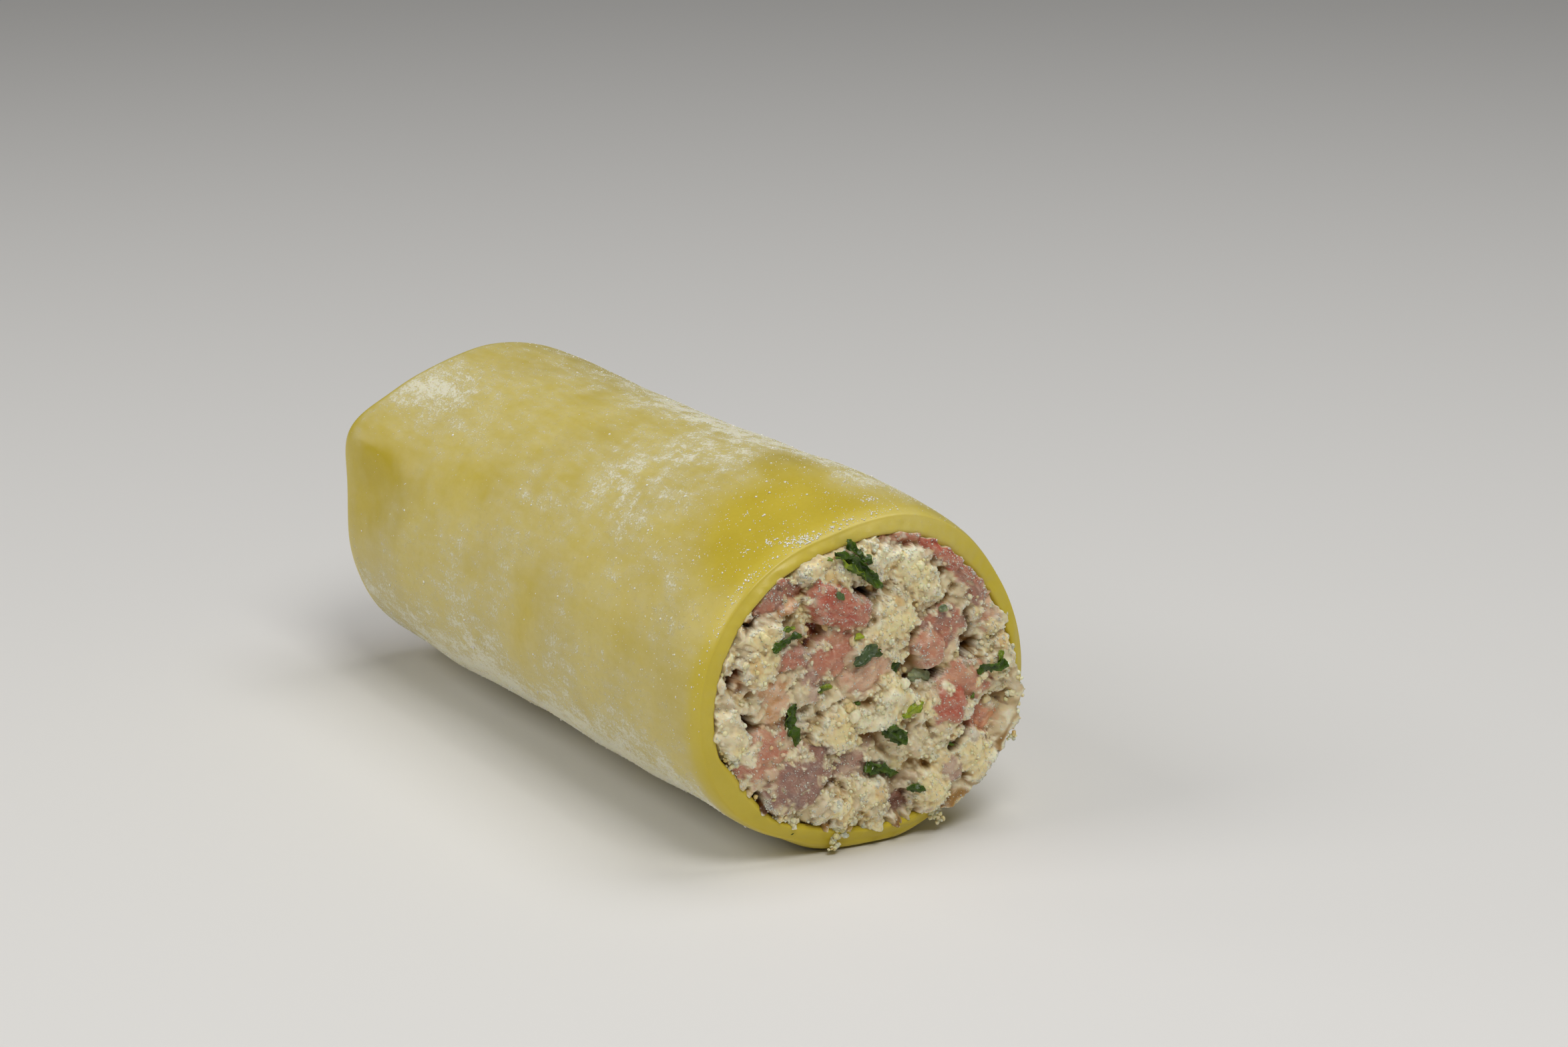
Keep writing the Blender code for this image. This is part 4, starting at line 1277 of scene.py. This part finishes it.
def leaf(mouth, rng, y, z, length, width, turn, roll, pitch, lift, tint, edge_tint):
    """A torn, crinkled flake of parsley with a midrib: thin, but closed."""
    rows = int(np.clip(length / 0.10, 7, 46))
    cols = int(np.clip(width / 0.10, 6, 19))
    s = np.linspace(0, 1, rows)[:, None]
    t = np.linspace(-1, 1, cols)[None, :]
    tag = float(rng.random() * 90)
    torn = 1 + 0.42 * noise1(s * length / 0.60, np.sign(t) * 2.0, tag, 201) + 0.32 * noise1(s * length / 0.24, np.sign(t) * 5.0, tag, 202)
    half = 0.5 * width * np.clip(np.sin(np.pi * np.clip(s, 0.02, 0.98)) * 1.35, 0, 1) ** 0.55 * torn
    u = (s - 0.5) * length + 0.10 * noise1(t * 2, tag, 0.0, 203) + 0 * t
    v = t * half
    rib = 0.16 * np.exp(-((t / 0.15) ** 2))
    veins = 0.030 * np.cos(6.0 * (s * length / 1.1 - 0.8 * np.abs(t)) * 2)
    crinkle = 0.42 * noise1(u / 0.85, v / 0.55, tag, 204) + 0.16 * noise1(u / 0.32, v / 0.26, tag, 205)
    w = crinkle + rib + veins
    w = w - 0.20 * (np.abs(t) ** 2) * width * 0.5 + 0.14 * length * 0.25 * ((s - 0.5) * 2) ** 2 * (1 if rng.random() < 0.5 else -1)
    thick = 0.075 * (1 - 0.75 * np.abs(t) ** 3) * np.clip(np.sin(np.pi * np.clip(s, 0.03, 0.97)) * 2.5, 0.2, 1)
    cr, sr = math.cos(math.radians(roll)), math.sin(math.radians(roll))
    cp, sp = math.cos(math.radians(pitch)), math.sin(math.radians(pitch))
    ct, st = math.cos(math.radians(turn)), math.sin(math.radians(turn))
    iy = float(mouth.at(mouth.h, np.array(y), np.array(z)))
    near = [float(mouth.at(mouth.h, np.array(y + k * 0.3 * length * ct), np.array(z + k * 0.3 * length * st))) for k in (-1, 0, 1)]
    base = 0.6 * max(near) + 0.4 * iy
    layers = []
    for side in (1, -1):
        ww = w + side * thick
        v2, w2 = v * cr - ww * sr, v * sr + ww * cr
        u2, w3 = u * cp - w2 * sp, u * sp + w2 * cp
        yy, zz = y + u2 * ct - v2 * st, z + u2 * st + v2 * ct
        xx = mouth.end * (HALF - 0.10 + base + lift * 0.55 + w3)
        layers.append(np.stack([xx, yy, zz], -1).reshape(-1, 3))
    top = grid_faces(rows, cols)
    n = rows * cols
    rim = np.concatenate([np.arange(cols), np.arange(1, rows) * cols + cols - 1, (rows - 1) * cols + np.arange(cols - 2, -1, -1), np.arange(rows - 2, 0, -1) * cols])
    nxt = np.roll(rim, -1)
    walls = np.stack([rim, rim + n, nxt + n, nxt], -1)
    faces = np.concatenate([top, top[:, ::-1] + n, walls])
    if mouth.end > 0:
        faces = faces[:, ::-1]
    # a lighter edge tint at the torn edges and the midrib, and painted highlight on the crinkle's raised ridges
    mix = np.clip(0.10 + 0.35 * noise1(u / 0.6, v / 0.6, tag, 206) + 0.35 * np.abs(t) ** 4 + 0.5 * np.exp(-((t / 0.12) ** 2)) + 2.2 * np.maximum(0, crinkle), 0, 1)[..., None]
    colour = (np.array(tint) * (1 - mix) + np.array(edge_tint) * mix).reshape(-1, 3)
    return np.concatenate(layers), faces, np.concatenate([colour, colour])


def parsley_material():
    k = Kit("parsley")
    n = k.noise(0.35, 3.0, 0.6)
    fine = k.noise(0.12, 2.0, 0.5)
    tint = k.attribute("tint", "Color")
    colour = k.mix(k.ramp(n, 0.45, 0.75, 0.0, 0.40), tint, k.mix(1.0, tint, (1.9, 1.7, 1.2), "MULTIPLY"))
    height = k.math("ADD", n, k.math("MULTIPLY", fine, 0.5))
    return k.set(
        Base_Color=colour,
        Roughness=k.ramp(fine, 0.35, 0.65, 0.22, 0.42),
        Specular_IOR_Level=0.40,
        Normal=k.bump(height, 0.06, 0.8),
        Subsurface_Weight=0.12,
        Subsurface_Radius=(0.3, 0.8, 0.1),
        Subsurface_Scale=0.0002,
    )


def make_parsley(mouths):
    pts, faces, tints, count = [], [], [], 0
    for mouth in mouths:
        rng = np.random.default_rng(500 + mouth.seed)
        if mouth.end > 0:
            rows = [(row[0] - 0.45, *row[1:]) for row in FRONT_LEAVES]
        else:
            rows = []
            while len(rows) < 22:
                r, t = 12.0 * math.sqrt(rng.random()), rng.random() * TAU
                big = len(rows) < 13
                length = 1.4 + 2.6 * rng.random() if big else 0.5 + 0.5 * rng.random()
                pair = [(LEAF_DARK, LEAF), (LEAF, LEAF_DARK), (LEAF_DARK, LEAF_BRIGHT), (LEAF_BRIGHT, LEAF), (LEAF_TEAL, LEAF_DARK)][int(rng.integers(5))]
                rows.append((r * math.cos(t), CENTRE_Z + 0.92 * r * math.sin(t), length, length * (0.40 + 0.15 * rng.random()), 360 * rng.random(), 30 * rng.normal(), 8 * rng.normal(), 0.45, *pair))
        for row in rows:
            row = (row[0], row[1], row[2] * 0.96, row[3] * (0.82 if row[3] > 0.6 else 1.0), *row[4:])
            p, f, c = leaf(mouth, rng, *row)
            pts.append(p)
            faces.append(f + count)
            tints.append(c)
            count += len(p)
    piece = make_mesh("parsley_flakes", np.concatenate(pts), [np.concatenate(faces)], parsley_material(), colour=np.concatenate(tints))
    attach(piece, "root")
    return piece


parsley = make_parsley([FRONT, BACK])


# ---------------------------------------------------------------------------- flour grains
def make_flour():
    """Single grains and small clumps on the outside, thick where the dusting is thick."""
    rng = np.random.default_rng(7)
    n = 80000
    a = rng.random(n) * TAU
    depth = rng.random(n) * LENGTH
    density = flour_density(a, depth)
    blotch = np.clip(0.5 + 0.9 * fbm(depth * 0.9, 13 * np.cos(a), 13 * np.sin(a), 211, 3), 0.05, 1.4)
    shoulder = np.exp(-((np.degrees(wrap(a - math.radians(118))) / 58) ** 2)) * smooth(depth, -0.6, 0.8) * (1 - smooth(depth, 13, 22))
    wiped = smooth(depth, 0.2, 1.6) * smooth(LENGTH - depth, 0.2, 1.6)
    odds = np.clip((density - 0.25), 0, 1) ** 1.5 * 0.42 * blotch + 0.30 * shoulder * (0.35 + 0.65 * blotch) + 0.02 * wiped
    crest = np.exp(-((np.degrees(wrap(a - math.radians(66))) / 14) ** 2)) * smooth(depth, 1.0, 6.0)
    odds = odds + 0.40 * crest * blotch
    low = np.exp(-((np.degrees(wrap(a - math.radians(-140))) / 18) ** 2)) * smooth(depth, 0.2, 2.0)
    odds = odds + 0.25 * low * blotch
    keep = rng.random(n) < odds
    a, depth = a[keep][:15500], depth[keep][:15500]
    size = 0.022 + 0.040 * rng.random(len(a)) ** 1.6
    size = np.where(rng.random(len(a)) < 0.045, size * 2.2, size)
    # a few clumps by the front lip and on the shoulder
    clumps = [(112, 0.6, 120, 0.75, 0.9), (116, 1.5, 40, 0.5, 0.8), (80, 3.2, 40, 0.5, 0.9), (121, 2.6, 24, 0.35, 0.6), (100, 0.6, 60, 1.4, 0.5), (88, 0.8, 40, 1.8, 0.6), (130, 0.6, 40, 1.6, 0.5), (146, 0.6, 30, 2.2, 0.6), (165, 0.7, 26, 3.0, 0.6), (135, 0.9, 12, 0.5, 0.3), (141, 1.0, 10, 0.5, 0.3), (90, 6.0, 8, 0.2, 0.3), (97, 9.5, 8, 0.2, 0.3), (116, 8.0, 9, 0.2, 0.3), (86, 11.5, 7, 0.2, 0.2), (128, 3.6, 9, 0.3, 0.3)]
    ca, cd, cs = [], [], []
    for angle, at, count, wide, deep in clumps:
        ca.append(np.radians(angle + rng.normal(size=count) * wide * 3.8))
        cd.append(np.maximum(0.25, at + rng.normal(size=count) * deep * 0.5))
        cs.append(0.035 + 0.075 * rng.random(count) ** 2)
    a, depth, size = np.concatenate([a] + ca), np.concatenate([depth] + cd), np.concatenate([size] + cs)
    # onto the surface
    x = HALF - depth
    follow = np.where(x > 0, cut_wave(a, 1) * (1 - smooth(depth, 0, 6)), -cut_wave(a, -1) * (1 - smooth(LENGTH - depth, 0, 6)))
    r = tube_radius(a, x) + size * 0.25
    z = CENTRE_Z + r * np.sin(a)
    ok = z > size * 0.8
    a, x, r, size, follow, z = a[ok], x[ok], r[ok], size[ok], follow[ok], z[ok]
    places = np.stack([x + follow, r * np.cos(a), z], -1)
    out = np.stack([np.zeros_like(a), np.cos(a), np.sin(a)], -1)
    octa = np.array([(1, 0, 0), (-1, 0, 0), (0, 1, 0), (0, -1, 0), (0, 0, 1), (0, 0, -1)], float)
    f = np.array([(0, 2, 4), (2, 1, 4), (1, 3, 4), (3, 0, 4), (2, 0, 5), (1, 2, 5), (3, 1, 5), (0, 3, 5)])
    shapes = np.array([octa * rng.uniform(0.7, 1.25, (6, 1)) for _ in range(24)])
    p, faces, _ = scatter(shapes, f, rng, places, size * 1.28, squash=out)
    k = Kit("flour")
    tone = k.noise(0.25, 2.0, 0.5)
    material = k.set(
        Base_Color=k.mix(tone, (0.90, 0.875, 0.77), (0.96, 0.945, 0.88)),
        Roughness=k.ramp(tone, 0.3, 0.7, 0.80, 0.95),
        Subsurface_Weight=0.15,
        Subsurface_Scale=0.0001,
    )
    piece = make_mesh("flour_grains", p, [faces], material)
    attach(piece, "root")
    return piece


flour = make_flour()


# ---------------------------------------------------------------------------- stage
def make_stage():
    k = Kit("stage_floor")
    k.set(Base_Color=(0.80, 0.79, 0.77), Roughness=0.7)
    bpy.ops.mesh.primitive_plane_add(size=6.0, location=(0, 0, -0.00002))
    floor = bpy.context.object
    floor.name = "floor"
    floor.data.materials.append(k.material)

    world = bpy.data.worlds.new("studio")
    world.use_nodes = True
    world.node_tree.nodes["Background"].inputs["Color"].default_value = (1.0, 0.99, 0.97, 1)
    world.node_tree.nodes["Background"].inputs["Strength"].default_value = 0.095
    bpy.context.scene.world = world

    from mathutils import Vector

    def softbox(name, at, size, power, colour=(1, 1, 1)):
        light = bpy.data.lights.new(name, "AREA")
        light.shape = "RECTANGLE"
        light.size, light.size_y = size
        light.energy = power
        light.color = colour
        lamp = bpy.data.objects.new(name, light)
        lamp.location = at
        lamp.rotation_euler = (Vector((0.005, 0, 0.012)) - Vector(at)).to_track_quat("-Z", "Y").to_euler()
        bpy.context.scene.collection.objects.link(lamp)

    softbox("key", (-0.08, -0.36, 0.32), (0.22, 0.22), 0.57, (1.0, 0.985, 0.96))
    softbox("front", (0.30, -0.06, 0.42), (0.20, 0.20), 1.05, (1.0, 0.99, 0.97))
    softbox("top", (0.04, 0.14, 0.48), (0.28, 0.28), 0.80)
    softbox("edge", (-0.30, -0.29, 0.14), (0.14, 0.14), 0.14)


def make_camera():
    """The lens stands a third of a metre off the front cut, looking down at the roll by 16 degrees."""
    from mathutils import Matrix, Vector

    data = bpy.data.cameras.new("camera")
    data.sensor_fit = "HORIZONTAL"
    data.sensor_width = 36.0
    data.lens = 100.43
    data.clip_start = 0.01
    data.dof.use_dof = False
    camera = bpy.data.objects.new("camera", data)
    bpy.context.scene.collection.objects.link(camera)
    pitch = math.radians(16.16)
    ahead = Vector((-0.857, 0.515, 0)).normalized()
    forward = (ahead * math.cos(pitch) + Vector((0, 0, -math.sin(pitch)))).normalized()
    right = forward.cross(Vector((0, 0, 1))).normalized()
    up = right.cross(forward)
    where = Vector((318.17 + SHIFT[0], -179.08 + SHIFT[1], 125.31 + SHIFT[2])) * MM
    turn = Matrix((right, up, -forward)).transposed().to_4x4()
    camera.matrix_world = Matrix.Translation(where) @ turn
    bpy.context.scene.camera = camera


make_stage()
make_camera()
bpy.context.scene.view_settings.view_transform = "Standard"
